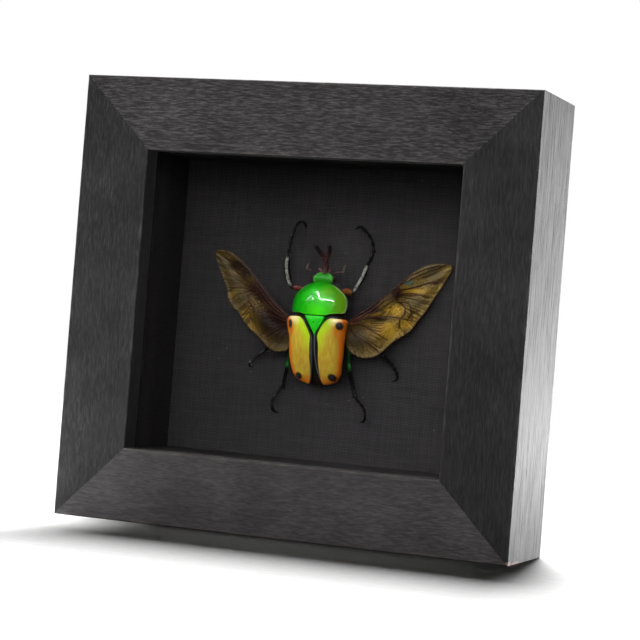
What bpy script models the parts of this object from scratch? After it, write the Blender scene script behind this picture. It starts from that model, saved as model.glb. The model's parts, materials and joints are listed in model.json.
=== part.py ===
"""Framed flower beetle: a black-stained wooden shadow box, glazed at the front, with one
horned flower beetle pinned to the dark board inside, its hindwings spread.

Metres, +Z up. The front of the frame faces -Y, and the origin is the middle of the base.
"""

import math

import bmesh
import bpy
import numpy as np
from mathutils import Vector

# Driving dimensions of the frame
MM = 0.001
FRAME_WIDTH = 140.0 * MM
FRAME_HEIGHT = 131.0 * MM
FRAME_DEPTH = 35.5 * MM
MOULDING_WIDTH = 21.5 * MM
LIP_DEPTH = 7.0 * MM
RABBET_WIDTH = 6.0 * MM
PIECE_GAP = 0.3 * MM
MITRE_GAP = 0.12 * MM

# Driving dimensions of what the frame holds, by depth behind its front face
GLASS_THICKNESS = 2.0 * MM
BOARD_DEPTH = 31.0 * MM
BOARD_THICKNESS = 1.2 * MM
PANEL_THICKNESS = 1.5 * MM

# Driving dimensions of the fixings at the back
POINT_WIDTH = 9.0 * MM
POINT_LENGTH = 14.0 * MM
POINT_BURIED = 5.0 * MM
POINT_THICKNESS = 0.4 * MM
POINT_LIFT = 0.25 * MM
POINT_PLAY = 0.1 * MM
POINT_OFFSET = 24.0 * MM
HANGER_WIDTH = 42.0 * MM
HANGER_HEIGHT = 8.0 * MM
HANGER_THICKNESS = 0.7 * MM
HANGER_LIFT = 0.15 * MM
HANGER_TEETH = 7
HANGER_TOOTH_PITCH = 3.4 * MM
HANGER_TOOTH_DEPTH = 2.2 * MM
NAIL_SPACING = 35.0 * MM
NAIL_HEAD_RADIUS = 1.7 * MM
NAIL_HEAD_THICKNESS = 0.4 * MM
NAIL_SHANK_RADIUS = 0.6 * MM
NAIL_LENGTH = 9.0 * MM
NAIL_PLAY = 0.15 * MM

# The beetle's place: its pin stands here, and its sizes below are in millimetres from it
PIN_X = 0.3 * MM
PIN_Z = 62.7 * MM
PIN_RADIUS = 0.22
PIN_HOLE_RADIUS = 0.34
PIN_TOP = 10.95
PIN_BOTTOM = -1.0

# Values worked out from the driving dimensions
HANGER_PROUD = HANGER_LIFT + HANGER_THICKNESS + NAIL_HEAD_THICKNESS
FRONT_Y = -(FRAME_DEPTH + HANGER_PROUD) / 2
BACK_Y = FRONT_Y + FRAME_DEPTH
BOARD_Y = FRONT_Y + BOARD_DEPTH
RABBET_INSET = MOULDING_WIDTH - RABBET_WIDTH
PANE_INSET = RABBET_INSET + PIECE_GAP
GLASS_DEPTH = LIP_DEPTH + PIECE_GAP
SPACER_DEPTH = GLASS_DEPTH + GLASS_THICKNESS + PIECE_GAP
SPACER_LENGTH = BOARD_DEPTH - PIECE_GAP - SPACER_DEPTH
PANEL_DEPTH = BOARD_DEPTH + BOARD_THICKNESS + PIECE_GAP
POINT_DEPTH = PANEL_DEPTH + PANEL_THICKNESS + POINT_LIFT

# The beetle's outlines, in millimetres: a place along the body (towards the head), then a size
ELYTRON_OUTER = [(1.4, 8.6), (0.9, 9.15), (0, 9.3), (-2, 9.05), (-5, 8.7), (-8, 8.6), (-11, 8.35),
                 (-14.5, 7.8), (-16.2, 7.1), (-17.4, 5.9), (-18.1, 4.3), (-18.4, 3.0)]
ELYTRON_INNER = [(1.4, 4.7), (1.0, 3.95), (0.4, 3.25), (-0.6, 2.4), (-2, 1.4), (-3.6, 0.45),
                 (-4.6, 0.18), (-8, 0.2), (-11, 0.36), (-14, 0.75), (-16.6, 1.3), (-18.4, 2.1)]
ELYTRON_MARGIN = [(2, 6.4), (-10, 6.2), (-14.5, 5.0), (-18.4, 3.5)]
ELYTRON_TOP = 10.8
ELYTRON_FALL = 0.0175
ELYTRON_SPREAD = 1.02
ELYTRON_ROWS = 19
ELYTRON_COLUMNS = 9
ELYTRON_THICKNESS = 0.55

PRONOTUM_HALF_OUTLINE = [(0, 12.1), (3.2, 11.6), (6.0, 9.9), (8.0, 7.6), (8.6, 5.0), (8.6, 2.5),
                         (6.4, 2.2), (4.2, 2.25), (3.3, 2.05), (0, 2.05)]
PRONOTUM_CENTRE = (0.0, 5.6)
PRONOTUM_THICKNESS = 0.6
PRONOTUM_SIDES = 38
PRONOTUM_CREST = 3.5
PRONOTUM_DOME_HALF_WIDTH = 8.95
PRONOTUM_DOME_LENGTH = 9.2
PRONOTUM_DOME_BASE = 5.2
PRONOTUM_DOME_RISE = 5.6
DOME_POWER = 2.4
COVER_SEAM = 1.7

SCUTELLUM_FRONT = 1.75
SCUTELLUM_APEX = -3.65
SCUTELLUM_HALF_WIDTH = 3.2
SCUTELLUM_TOP = 10.75

BODY_HALF_WIDTH = [(11.2, 2.2), (10.4, 3.8), (9, 5.4), (7, 6.7), (4.5, 7.4), (2, 7.6), (0, 8.1),
                   (-4, 7.9), (-9, 7.6), (-13, 7.0), (-15.6, 6.0), (-17.4, 4.4), (-18.7, 1.8)]
BODY_MIDDLE = [(11.2, 5.2), (2, 5.2), (-5, 5.0), (-12, 4.4), (-16, 3.6), (-18.7, 3.2)]
BODY_BELLY = [(11.2, 4.2), (9, 2.8), (5, 1.8), (0, 1.5), (-12, 1.7), (-16, 2.1), (-18.7, 2.7)]
BODY_PLACES = [11.2, 10.6, 9.6, 8.2, 6.2, 4.2, 2.4, 1.6, 0.4, -2, -4.5, -7, -9.5, -12, -14, -15.6,
               -16.9, -17.9, -18.5]
BODY_SIDES = 20
COVER_CLEARANCE = 1.0

HEAD_HALF_WIDTH = [(11.5, 2.1), (12.3, 2.9), (13.2, 3.1), (14.2, 2.75), (15.2, 2.45), (15.9, 2.1)]
HEAD_TOP = [(11.5, 5.9), (12.3, 6.25), (13.2, 6.5), (14.2, 6.35), (15.2, 5.9), (15.9, 5.4)]
HEAD_BOTTOM = [(11.5, 4.5), (12.6, 4.0), (14.2, 4.1), (15.9, 4.5)]
HEAD_PLACES = [11.5, 11.9, 12.5, 13.2, 13.9, 14.6, 15.3, 15.9]
HEAD_SIDES = 16
EYE_PLACE = (3.0, 12.9, 5.0)
EYE_RADIUS = 0.85

# The forked horn and the antennae: points as (sideways, towards the head, above the board, radius)
HORN_STEM = [(0.25, 14.9, 5.0, 0.85), (0.3, 16.4, 4.9, 0.7), (0.28, 17.9, 5.2, 0.62), (0.26, 19.3, 5.8, 0.75)]
HORN_PRONGS = [
    [(0.2, 18.9, 5.6, 0.6), (-1.0, 20.4, 6.4, 0.68), (-2.3, 22.4, 7.6, 0.55)],
    [(0.35, 18.9, 5.6, 0.6), (1.45, 20.7, 6.4, 0.68), (1.85, 22.8, 7.6, 0.55)],
]
MOUTH_LOBES = [
    [(-1.0, 15.2, 4.8, 0.6), (-1.9, 16.3, 4.8, 0.35)],
    [(1.0, 15.2, 4.8, 0.6), (1.9, 16.3, 4.8, 0.35)],
]
ANTENNA_STALKS = [
    [(-2.3, 14.5, 4.9, 0.2), (-4.0, 15.2, 4.9, 0.16), (-5.9, 15.8, 5.0, 0.18)],
    [(2.3, 14.5, 4.9, 0.2), (4.0, 15.2, 4.9, 0.16), (6.0, 15.4, 5.0, 0.18)],
]
ANTENNA_CLUBS = [
    [(-5.8, 15.6, 5.0, 0.3), (-5.25, 17.1, 5.0, 0.4)],
    [(5.9, 15.2, 5.0, 0.3), (6.35, 17.3, 5.0, 0.4)],
]

# Wing edges from root to tip: sideways from the midline, towards the head, above the board
WING_LEADING = {
    "left": [(8.3, 0.6, 5.2), (10.6, 1.9, 5.5), (13.4, 4.2, 5.3), (17.0, 7.3, 4.8), (21.0, 11.2, 4.2),
             (24.0, 13.9, 3.6), (27.0, 16.6, 2.9), (31.0, 19.0, 2.0), (34.6, 20.0, 1.4), (38.2, 19.3, 1.0)],
    "right": [(8.3, 0.7, 5.2), (10.6, 2.1, 5.5), (13.2, 4.0, 5.3), (16.6, 6.7, 4.8), (20.2, 10.2, 4.2),
              (23.4, 13.3, 3.6), (26.4, 16.4, 2.9), (30.0, 18.9, 2.0), (34.2, 20.0, 1.4), (37.8, 19.9, 1.0)],
}
WING_TRAILING = {
    "left": [(8.3, -6.6, 5.0), (10.4, -9.2, 4.9), (13.7, -9.7, 4.6), (16.4, -8.8, 4.3), (19.3, -6.4, 3.8),
             (22.8, -3.9, 3.2), (25.7, -1.4, 2.6), (27.6, 0.8, 2.2), (30.0, 2.7, 1.8), (31.8, 5.0, 1.6),
             (32.6, 8.0, 1.4), (34.1, 10.8, 1.2), (36.2, 14.9, 1.0), (37.9, 18.3, 0.9)],
    "right": [(8.3, -6.2, 5.0), (10.2, -8.2, 4.9), (12.5, -9.3, 4.7), (15.0, -9.5, 4.5), (17.4, -8.9, 4.2),
              (19.6, -7.3, 3.8), (22.1, -4.6, 3.3), (24.5, -2.7, 2.7), (27.0, -0.8, 2.2), (29.1, 2.4, 1.8),
              (31.3, 5.5, 1.5), (33.1, 8.8, 1.3), (35.4, 13.2, 1.0), (37.6, 18.6, 0.9)],
}
WING_THICKNESS = 0.16
WING_EDGE_THICKNESS = 0.55
WING_ROWS = 13
WING_COLUMNS = 9
WING_PLEAT_HEIGHT = 0.3
WING_PLEATS = 2
WING_SAG = 0.35
VEIN_LIFT = 0.05
VEIN_RADIUS = 0.32
VEIN_TAPER = 0.02
VEINS = [(0.06, 7), (0.2, 8), (0.4, 6)]

# Legs: points of femur, tibia and foot as (sideways, towards the head, above the board, radius)
LEGS = {
    "left_foreleg": {
        "femur": [(-6.1, 9.5, 4.0, 0.75), (-7.9, 9.7, 4.3, 1.05), (-10.3, 9.9, 4.6, 0.6)],
        "tibia": [(-10.7, 9.9, 4.7, 0.45), (-11.5, 11.9, 4.8, 0.72), (-12.2, 14.9, 5.0, 0.8),
                  (-12.2, 17.7, 5.2, 0.7), (-11.8, 19.4, 5.2, 0.5)],
        "foot": [(-11.8, 19.2, 5.2), (-11.6, 21.5, 5.2), (-11.35, 24.0, 5.2), (-10.8, 26.6, 5.1),
                 (-9.9, 28.9, 4.9)],
        "claw": [(-9.9, 28.8, 4.9), (-8.6, 29.7, 4.8), (-7.5, 29.0, 4.6), (-7.2, 27.8, 4.3)],
    },
    "right_foreleg": {
        "femur": [(6.1, 9.6, 4.0, 0.75), (7.5, 9.7, 4.3, 1.0), (9.2, 9.3, 4.6, 0.6)],
        "tibia": [(9.4, 9.4, 4.7, 0.45), (10.6, 11.7, 4.8, 0.62), (12.0, 14.2, 5.0, 0.68),
                  (12.95, 16.6, 5.2, 0.6), (13.5, 18.3, 5.2, 0.45)],
        "foot": [(13.4, 18.2, 5.2), (14.6, 20.4, 5.2), (15.0, 22.3, 5.2), (14.4, 24.5, 5.1),
                 (13.2, 26.6, 5.0), (11.6, 28.1, 4.9)],
        "claw": [(11.7, 28.0, 4.9), (10.6, 28.9, 4.8), (9.5, 28.9, 4.6), (8.6, 28.4, 4.4)],
    },
    "left_midleg": {
        "femur": [(-8.0, -3.6, 2.5, 0.8), (-10.8, -4.3, 2.9, 0.9), (-13.8, -5.7, 3.0, 0.55)],
        "tibia": [(-13.6, -5.5, 3.0, 0.45), (-16.2, -8.0, 2.8, 0.5), (-18.6, -10.1, 2.6, 0.4)],
        "foot": [(-18.4, -9.9, 2.6), (-20.2, -11.2, 2.5), (-21.6, -12.3, 2.3), (-22.7, -13.5, 2.0)],
        "claw": [(-22.6, -13.4, 2.0), (-23.0, -14.2, 1.8), (-22.7, -14.8, 1.6), (-22.0, -14.9, 1.4)],
    },
    "right_midleg": {
        "femur": [(8.0, -3.2, 2.5, 0.8), (10.8, -3.6, 2.9, 0.9), (14.0, -4.8, 3.0, 0.55)],
        "tibia": [(13.8, -4.7, 3.0, 0.45), (16.6, -6.4, 2.8, 0.5), (19.3, -8.3, 2.6, 0.4)],
        "foot": [(19.1, -8.1, 2.6), (20.6, -9.3, 2.5), (22.6, -11.1, 2.2), (24.0, -13.2, 1.9)],
        "claw": [(23.9, -13.1, 1.9), (24.2, -14.4, 1.7), (23.7, -15.3, 1.5), (22.6, -15.7, 1.4)],
    },
    "left_hindleg": {
        "femur": [(-7.7, -6.0, 2.4, 0.7), (-9.2, -8.6, 3.0, 0.95), (-9.9, -12.4, 3.5, 0.55)],
        "tibia": [(-9.9, -12.0, 3.5, 0.45), (-10.5, -16.2, 3.3, 0.5), (-11.1, -19.7, 3.0, 0.45)],
        "foot": [(-11.0, -19.4, 3.0), (-12.4, -21.1, 2.7), (-13.8, -22.6, 2.5), (-14.6, -24.2, 2.3),
                 (-14.8, -25.9, 2.0)],
        "claw": [(-14.8, -25.7, 2.0), (-14.4, -27.0, 1.7), (-13.6, -27.7, 1.5), (-12.6, -27.8, 1.3)],
    },
    "right_hindleg": {
        "femur": [(7.7, -5.6, 2.4, 0.7), (8.8, -8.2, 3.0, 0.9), (9.2, -11.6, 3.5, 0.55)],
        "tibia": [(9.2, -11.2, 3.5, 0.45), (10.3, -16.0, 3.3, 0.5), (11.6, -20.2, 3.0, 0.45)],
        "foot": [(11.5, -19.9, 3.0), (12.5, -21.9, 2.7), (13.9, -23.4, 2.5), (14.9, -24.9, 2.2),
                 (15.1, -26.3, 1.9)],
        "claw": [(15.1, -26.1, 1.9), (15.1, -27.4, 1.7), (14.5, -28.3, 1.5), (13.6, -28.5, 1.3)],
    },
}
FOOT_RADIUS = 0.34
FOOT_NECK_RADIUS = 0.2
FOOT_JOINTS = 4
CLAW_RADIUS = 0.2
SPUR_LENGTH = 1.2
SPUR_LEAN = 0.75
SPUR_RADIUS = 0.28
SPUR_TIP_RADIUS = 0.08
CLAW_SPREAD = 0.18
CLAW_TAPER = (1.0, 0.9, 0.7, 0.35)
CURVE_STEPS = 6


# Blender helpers

def clear_scene():
    """Remove whatever the file holds, so that the model starts from nothing."""
    for obj in list(bpy.data.objects):
        bpy.data.objects.remove(obj, do_unlink=True)


def linear(channel):
    """Turn one sRGB channel from 0 to 255 into a linear value."""
    value = channel / 255
    return value / 12.92 if value <= 0.04045 else ((value + 0.055) / 1.055) ** 2.4


def material(name, colour, roughness, metallic=0.0, transmission=0.0):
    """A Principled material; colour is an sRGB hex string."""
    rgb = [linear(int(colour[i:i + 2], 16)) for i in (0, 2, 4)]
    mat = bpy.data.materials.new(name)
    mat.use_nodes = True
    shader = mat.node_tree.nodes["Principled BSDF"]
    shader.inputs["Base Color"].default_value = (*rgb, 1.0)
    shader.inputs["Roughness"].default_value = roughness
    shader.inputs["Metallic"].default_value = metallic
    shader.inputs["Transmission Weight"].default_value = transmission
    mat.diffuse_color = (*rgb, 1.0)
    return mat


def add_object(name, vertices, faces, mat, smooth_angle=None):
    """Make an object from points and faces, with its faces turned outwards."""
    mesh = bpy.data.meshes.new(name)
    mesh.from_pydata([tuple(v) for v in vertices], [], faces)
    bm = bmesh.new()
    bm.from_mesh(mesh)
    bmesh.ops.recalc_face_normals(bm, faces=bm.faces)
    bm.to_mesh(mesh)
    bm.free()
    mesh.materials.append(mat)
    if smooth_angle:
        mesh.shade_smooth()
        mesh.set_sharp_from_angle(angle=math.radians(smooth_angle))
    obj = bpy.data.objects.new(name, mesh)
    bpy.context.scene.collection.objects.link(obj)
    return obj


def combine(base, other, operation):
    """Join another object to the base, or cut it out of it, and delete the other."""
    modifier = base.modifiers.new(operation.lower(), "BOOLEAN")
    modifier.operation = operation
    modifier.solver = "EXACT"
    modifier.object = other
    bpy.context.view_layer.update()
    graph = bpy.context.evaluated_depsgraph_get()
    result = bpy.data.meshes.new_from_object(base.evaluated_get(graph))
    base.modifiers.clear()
    base.data = result
    bpy.data.objects.remove(other, do_unlink=True)
    return base


def box(name, low, high, mat):
    """A plain rectangular block between two corners."""
    corners = [(x, y, z) for x in (low[0], high[0]) for y in (low[1], high[1]) for z in (low[2], high[2])]
    faces = [(0, 1, 3, 2), (4, 6, 7, 5), (0, 4, 5, 1), (2, 3, 7, 6), (0, 2, 6, 4), (1, 5, 7, 3)]
    return add_object(name, corners, faces, mat)


def rod(name, start, end, radius, sides, mat):
    """A straight round rod between two points, closed at both ends."""
    axis = (end - start).normalized()
    side = axis.cross(Vector((1, 0, 0)) if abs(axis.x) < 0.9 else Vector((0, 0, 1))).normalized()
    rise = axis.cross(side)
    turns = [2 * math.pi * k / sides for k in range(sides)]
    ring = [radius * (side * math.cos(a) + rise * math.sin(a)) for a in turns]
    vertices = [start + r for r in ring] + [end + r for r in ring]
    faces = [(k, (k + 1) % sides, sides + (k + 1) % sides, sides + k) for k in range(sides)]
    faces += [tuple(range(sides)), tuple(range(sides, 2 * sides))]
    return add_object(name, vertices, faces, mat, 40)


# Curves

def smooth_line(points, steps):
    """Points along a smooth curve through the given points, some steps to each span."""
    pts = [np.array(p, float) for p in points]
    pts = [2 * pts[0] - pts[1], *pts, 2 * pts[-1] - pts[-2]]
    line = []
    for a, b, c, d in zip(pts, pts[1:], pts[2:], pts[3:]):
        for k in range(steps):
            t = k / steps
            line.append(0.5 * (2 * b + (c - a) * t + (2 * a - 5 * b + 4 * c - d) * t ** 2
                               + (3 * b - a - 3 * c + d) * t ** 3))
    line.append(pts[-2])
    return line


def profile(table):
    """A smooth size along the body, from pairs of place and size."""
    line = np.array(sorted(smooth_line(table, 8), key=lambda point: point[0]))
    return lambda v: float(np.interp(v, line[:, 0], line[:, 1]))


def along(line, count):
    """The line's points read again at even distances, ends included."""
    pts = np.array(line, float)
    run = np.concatenate([[0.0], np.cumsum(np.linalg.norm(np.diff(pts, axis=0), axis=1))])
    places = np.linspace(0.0, run[-1], count)
    return [np.array([np.interp(s, run, pts[:, k]) for k in range(pts.shape[1])]) for s in places]


def at(u, v, h):
    """World point of a beetle point: sideways, towards the head, and above the board, in mm."""
    return Vector((PIN_X + u * MM, BOARD_Y - h * MM, PIN_Z + v * MM))


# Surfaces

def closed_sheet(name, top, bottom, mat):
    """A thin solid between two grids of beetle points with the same rows and columns."""
    rows, columns = len(top), len(top[0])
    vertices = [at(*p) for row in top for p in row] + [at(*p) for row in bottom for p in row]
    below = rows * columns
    faces = []
    for i in range(rows - 1):
        for j in range(columns - 1):
            here, ahead = i * columns + j, (i + 1) * columns + j
            quad = (here, here + 1, ahead + 1, ahead)
            faces.append(quad)
            faces.append(tuple(below + k for k in reversed(quad)))
    edge = list(range(columns))
    edge += [i * columns + columns - 1 for i in range(1, rows)]
    edge += [(rows - 1) * columns + j for j in range(columns - 2, -1, -1)]
    edge += [i * columns for i in range(rows - 2, 0, -1)]
    for a, b in zip(edge, edge[1:] + edge[:1]):
        faces.append((a, b, below + b, below + a))
    return add_object(name, vertices, faces, mat, 50)


def loft(name, rings, mat):
    """A solid through closed rings of beetle points, capped at both ends."""
    count = len(rings[0])
    vertices = [at(*p) for ring in rings for p in ring]
    faces = [tuple(range(count))]
    faces.append(tuple((len(rings) - 1) * count + k for k in range(count)))
    for i in range(len(rings) - 1):
        for k in range(count):
            j = (k + 1) % count
            faces.append((i * count + k, i * count + j, (i + 1) * count + j, (i + 1) * count + k))
    return add_object(name, vertices, faces, mat, 50)


def tube(name, points, sides, mat, flatness=1.0):
    """A solid that follows beetle points with a radius each, with blunt rounded ends."""
    centres = [np.array(p[:3], float) for p in points]
    radii = [p[3] for p in points]
    first = centres[0] - centres[1]
    last = centres[-1] - centres[-2]
    centres.insert(0, centres[0] + first / np.linalg.norm(first) * radii[0] * 0.45)
    centres.append(centres[-1] + last / np.linalg.norm(last) * radii[-1] * 0.45)
    radii = [radii[0] * 0.55, *radii, radii[-1] * 0.55]
    rings = []
    for k, centre in enumerate(centres):
        ahead = centres[min(k + 1, len(centres) - 1)] - centres[max(k - 1, 0)]
        ahead = ahead / np.linalg.norm(ahead)
        side = np.cross(ahead, (0.0, 0.0, 1.0))
        side = side / np.linalg.norm(side)
        rise = np.cross(side, ahead)
        ring = []
        for n in range(sides):
            turn = 2 * math.pi * (n + 0.5) / sides
            ring.append(centre + radii[k] * (side * math.cos(turn) + rise * flatness * math.sin(turn)))
        rings.append(ring)
    return loft(name, rings, mat)


# The frame

def rounded(corners):
    """A closed outline from corners of (inset, depth, radius), each radius as a short arc."""
    outline = []
    for k, (a, b, radius) in enumerate(corners):
        corner = Vector((a, b))
        if radius == 0:
            outline.append(corner)
            continue
        before = (Vector(corners[k - 1][:2]) - corner).normalized()
        after = (Vector(corners[(k + 1) % len(corners)][:2]) - corner).normalized()
        centre = corner + (before + after) * radius
        for step in range(4):
            turn = math.pi / 2 * step / 3
            outline.append(centre - after * radius * math.cos(turn) - before * radius * math.sin(turn))
    return outline


def rail_outline():
    """The moulding's section: how far in from the frame's outside, and how far back."""
    return rounded([
        (0, 0, 0.6 * MM),
        (MOULDING_WIDTH, 0, 0.35 * MM),
        (MOULDING_WIDTH, LIP_DEPTH, 0.25 * MM),
        (RABBET_INSET, LIP_DEPTH, 0),
        (RABBET_INSET, FRAME_DEPTH, 0.3 * MM),
        (0, FRAME_DEPTH, 1.0 * MM),
    ])


def rail(side, mat):
    """One mitred and rabbeted rail of the frame."""
    outline = rail_outline()
    level = side in ("top", "bottom")
    half = (FRAME_WIDTH if level else FRAME_HEIGHT) / 2
    vertices = []
    for end in (-1, 1):
        for inset, back in outline:
            run = end * (half - inset - MITRE_GAP / 2)
            y = FRONT_Y + back
            if level:
                z = inset if side == "bottom" else FRAME_HEIGHT - inset
                vertices.append((run, y, z))
            else:
                x = inset - FRAME_WIDTH / 2 if side == "left" else FRAME_WIDTH / 2 - inset
                vertices.append((x, y, FRAME_HEIGHT / 2 + run))
    count = len(outline)
    faces = [tuple(range(count)), tuple(range(count, 2 * count))]
    faces += [(k, (k + 1) % count, count + (k + 1) % count, count + k) for k in range(count)]
    return add_object(side + "_rail", vertices, faces, mat, 35)


def inset_box(name, inset, depth, thickness, mat):
    """A flat pane that fills the rabbet, that far in from the frame's outside."""
    half = FRAME_WIDTH / 2 - inset
    low = (-half, FRONT_Y + depth, inset)
    high = (half, FRONT_Y + depth + thickness, FRAME_HEIGHT - inset)
    return box(name, low, high, mat)


def spacers(mat):
    """Four strips, flush with the lip, that hold the board away from the glass."""
    outer = FRAME_WIDTH / 2 - PANE_INSET
    inner = FRAME_WIDTH / 2 - MOULDING_WIDTH
    y0 = FRONT_Y + SPACER_DEPTH
    y1 = y0 + SPACER_LENGTH
    top = FRAME_HEIGHT - PANE_INSET
    box("left_spacer", (-outer, y0, PANE_INSET), (-inner, y1, top), mat)
    box("right_spacer", (inner, y0, PANE_INSET), (outer, y1, top), mat)
    reach = inner - PIECE_GAP
    box("bottom_spacer", (-reach, y0, PANE_INSET), (reach, y1, MOULDING_WIDTH), mat)
    box("top_spacer", (-reach, y0, FRAME_HEIGHT - MOULDING_WIDTH), (reach, y1, top), mat)


def point_box(name, across, level, mat, play=0.0):
    """A glazier's point in the top or bottom rail, or with play, the slot that it sits in."""
    rail_edge = RABBET_INSET
    low_z = rail_edge - POINT_BURIED - play
    high_z = rail_edge - POINT_BURIED + POINT_LENGTH + play
    if level == "top":
        low_z, high_z = FRAME_HEIGHT - high_z, FRAME_HEIGHT - low_z
    y = FRONT_Y + POINT_DEPTH
    low = (across - POINT_WIDTH / 2 - play, y - play, low_z)
    high = (across + POINT_WIDTH / 2 + play, y + POINT_THICKNESS + play, high_z)
    return box(name, low, high, mat)


def glazier_points(rails, steel):
    """Four flat steel points, driven into the rails, that hold the back panel in."""
    for level in ("top", "bottom"):
        for hand, across in (("left", -POINT_OFFSET), ("right", POINT_OFFSET)):
            slot = point_box("slot", across, level, steel, POINT_PLAY)
            combine(rails[level], slot, "DIFFERENCE")
            point_box(level + "_" + hand + "_point", across, level, steel)


def hanger_plate(mat):
    """A sawtooth hanger: a thin plate whose lower edge is cut into teeth in the middle."""
    middle = FRAME_HEIGHT - RABBET_INSET / 2
    top = middle + HANGER_HEIGHT / 2
    low = middle - HANGER_HEIGHT / 2
    half = HANGER_WIDTH / 2
    outline = [(half, low), (half, top), (-half, top), (-half, low)]
    start = -HANGER_TEETH * HANGER_TOOTH_PITCH / 2
    for k in range(HANGER_TEETH):
        left = start + k * HANGER_TOOTH_PITCH
        outline += [(left, low), (left + HANGER_TOOTH_PITCH / 2, low + HANGER_TOOTH_DEPTH)]
    outline.append((-start, low))
    y0 = BACK_Y + HANGER_LIFT
    y1 = y0 + HANGER_THICKNESS
    count = len(outline)
    vertices = [(x, y, z) for y in (y0, y1) for x, z in outline]
    faces = [tuple(range(count)), tuple(range(count, 2 * count))]
    faces += [(k, (k + 1) % count, count + (k + 1) % count, count + k) for k in range(count)]
    return add_object("sawtooth_hanger", vertices, faces, mat)


def hanger(top_rail, steel):
    """The hanger, and the two nails that go through it into the top rail."""
    plate = hanger_plate(steel)
    z = FRAME_HEIGHT - RABBET_INSET / 2 + HANGER_HEIGHT / 5
    seat = BACK_Y + HANGER_LIFT + HANGER_THICKNESS
    for hand, x in (("left", -NAIL_SPACING / 2), ("right", NAIL_SPACING / 2)):
        tip = Vector((x, seat - NAIL_LENGTH, z))
        for target in (plate, top_rail):
            hole = rod("hole", tip - Vector((0, NAIL_PLAY, 0)), Vector((x, seat + MM, z)),
                       NAIL_SHANK_RADIUS + NAIL_PLAY, 12, steel)
            combine(target, hole, "DIFFERENCE")
        lifted = seat + NAIL_PLAY / 3
        end = lifted + NAIL_HEAD_THICKNESS - NAIL_PLAY / 3
        under, over = Vector((x, lifted, z)), Vector((x, end, z))
        nail = rod(hand + "_hanger_nail", under, over, NAIL_HEAD_RADIUS, 16, steel)
        combine(nail, rod("shank", tip, (under + over) / 2, NAIL_SHANK_RADIUS, 12, steel), "UNION")


def build_frame():
    """Rails, glass, spacers, board, back panel and their fixings."""
    wood = material("black_stained_wood", "35353A", 0.6)
    black_board = material("black_spacer_board", "0E0E10", 0.85)
    linen_paper = material("charcoal_linen_paper", "2B292B", 0.9)
    hardboard = material("brown_hardboard", "6B4F38", 0.8)
    steel = material("zinc_plated_steel", "B9BBBD", 0.35, metallic=1.0)
    rails = {side: rail(side, wood) for side in ("top", "bottom", "left", "right")}
    inset_box("glass_pane", PANE_INSET, GLASS_DEPTH, GLASS_THICKNESS,
              material("clear_glass", "F4F8F7", 0.0, transmission=1.0))
    spacers(black_board)
    board = inset_box("mount_board", PANE_INSET, BOARD_DEPTH, BOARD_THICKNESS, linen_paper)
    combine(board, rod("hole", at(0, 0, 1), at(0, 0, -2), PIN_HOLE_RADIUS * MM, 12, steel), "DIFFERENCE")
    inset_box("back_panel", PANE_INSET, PANEL_DEPTH, PANEL_THICKNESS, hardboard)
    glazier_points(rails, steel)
    hanger(rails["top"], steel)


# The beetle

elytron_outer = profile(ELYTRON_OUTER)
elytron_inner = profile(ELYTRON_INNER)
elytron_margin = profile(ELYTRON_MARGIN)
body_half_width = profile(BODY_HALF_WIDTH)
body_middle = profile(BODY_MIDDLE)
body_belly = profile(BODY_BELLY)
head_half_width = profile(HEAD_HALF_WIDTH)
head_top = profile(HEAD_TOP)
head_bottom = profile(HEAD_BOTTOM)
wing_front = {side: along(smooth_line(edge, CURVE_STEPS), WING_ROWS) for side, edge in WING_LEADING.items()}
wing_back = {side: along(smooth_line(edge, CURVE_STEPS), WING_ROWS) for side, edge in WING_TRAILING.items()}


def elytra_height(u, v):
    """Height of the arched back above the board, over the wing covers."""
    ridge = ELYTRON_TOP - ELYTRON_FALL * min(v, 0.0) ** 2
    edge = elytron_margin(v)
    share = min(abs(u) / (ELYTRON_SPREAD * elytron_outer(v)), 1.0)
    return edge + (ridge - edge) * math.sqrt(1.0 - share ** DOME_POWER)


def pronotum_height(u, v):
    """Height above the board of the domed shield behind the head."""
    across = (abs(u) / PRONOTUM_DOME_HALF_WIDTH) ** DOME_POWER
    ahead = (max(v - PRONOTUM_CREST, 0.0) / PRONOTUM_DOME_LENGTH) ** 2.2
    return PRONOTUM_DOME_BASE + PRONOTUM_DOME_RISE * math.sqrt(max(1.0 - across - ahead, 0.0))


def cover_height(u, v):
    """Height of whichever cover lies over that place on the body."""
    return pronotum_height(u, v) if v > COVER_SEAM else elytra_height(u, v)


def elytron(side, mat):
    """One wing cover: a thin arched shell with a rounded end."""
    sign = -1 if side == "left" else 1
    front, rear = ELYTRON_OUTER[0][0], ELYTRON_OUTER[-1][0]
    top, bottom = [], []
    for i in range(ELYTRON_ROWS):
        v = front + (rear - front) * math.sin(math.pi / 2 * i / (ELYTRON_ROWS - 1)) ** 0.95
        inner, outer = elytron_inner(v), elytron_outer(v)
        turns = [math.pi / 2 * j / (ELYTRON_COLUMNS - 1) for j in range(ELYTRON_COLUMNS)]
        reach = [inner + (outer - inner) * math.sin(a) for a in turns]
        top.append([(sign * u, v, elytra_height(u, v)) for u in reach])
        bottom.append([(sign * u, v, elytra_height(u, v) - ELYTRON_THICKNESS) for u in reach])
    return closed_sheet(side + "_elytron", top, bottom, mat)


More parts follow.
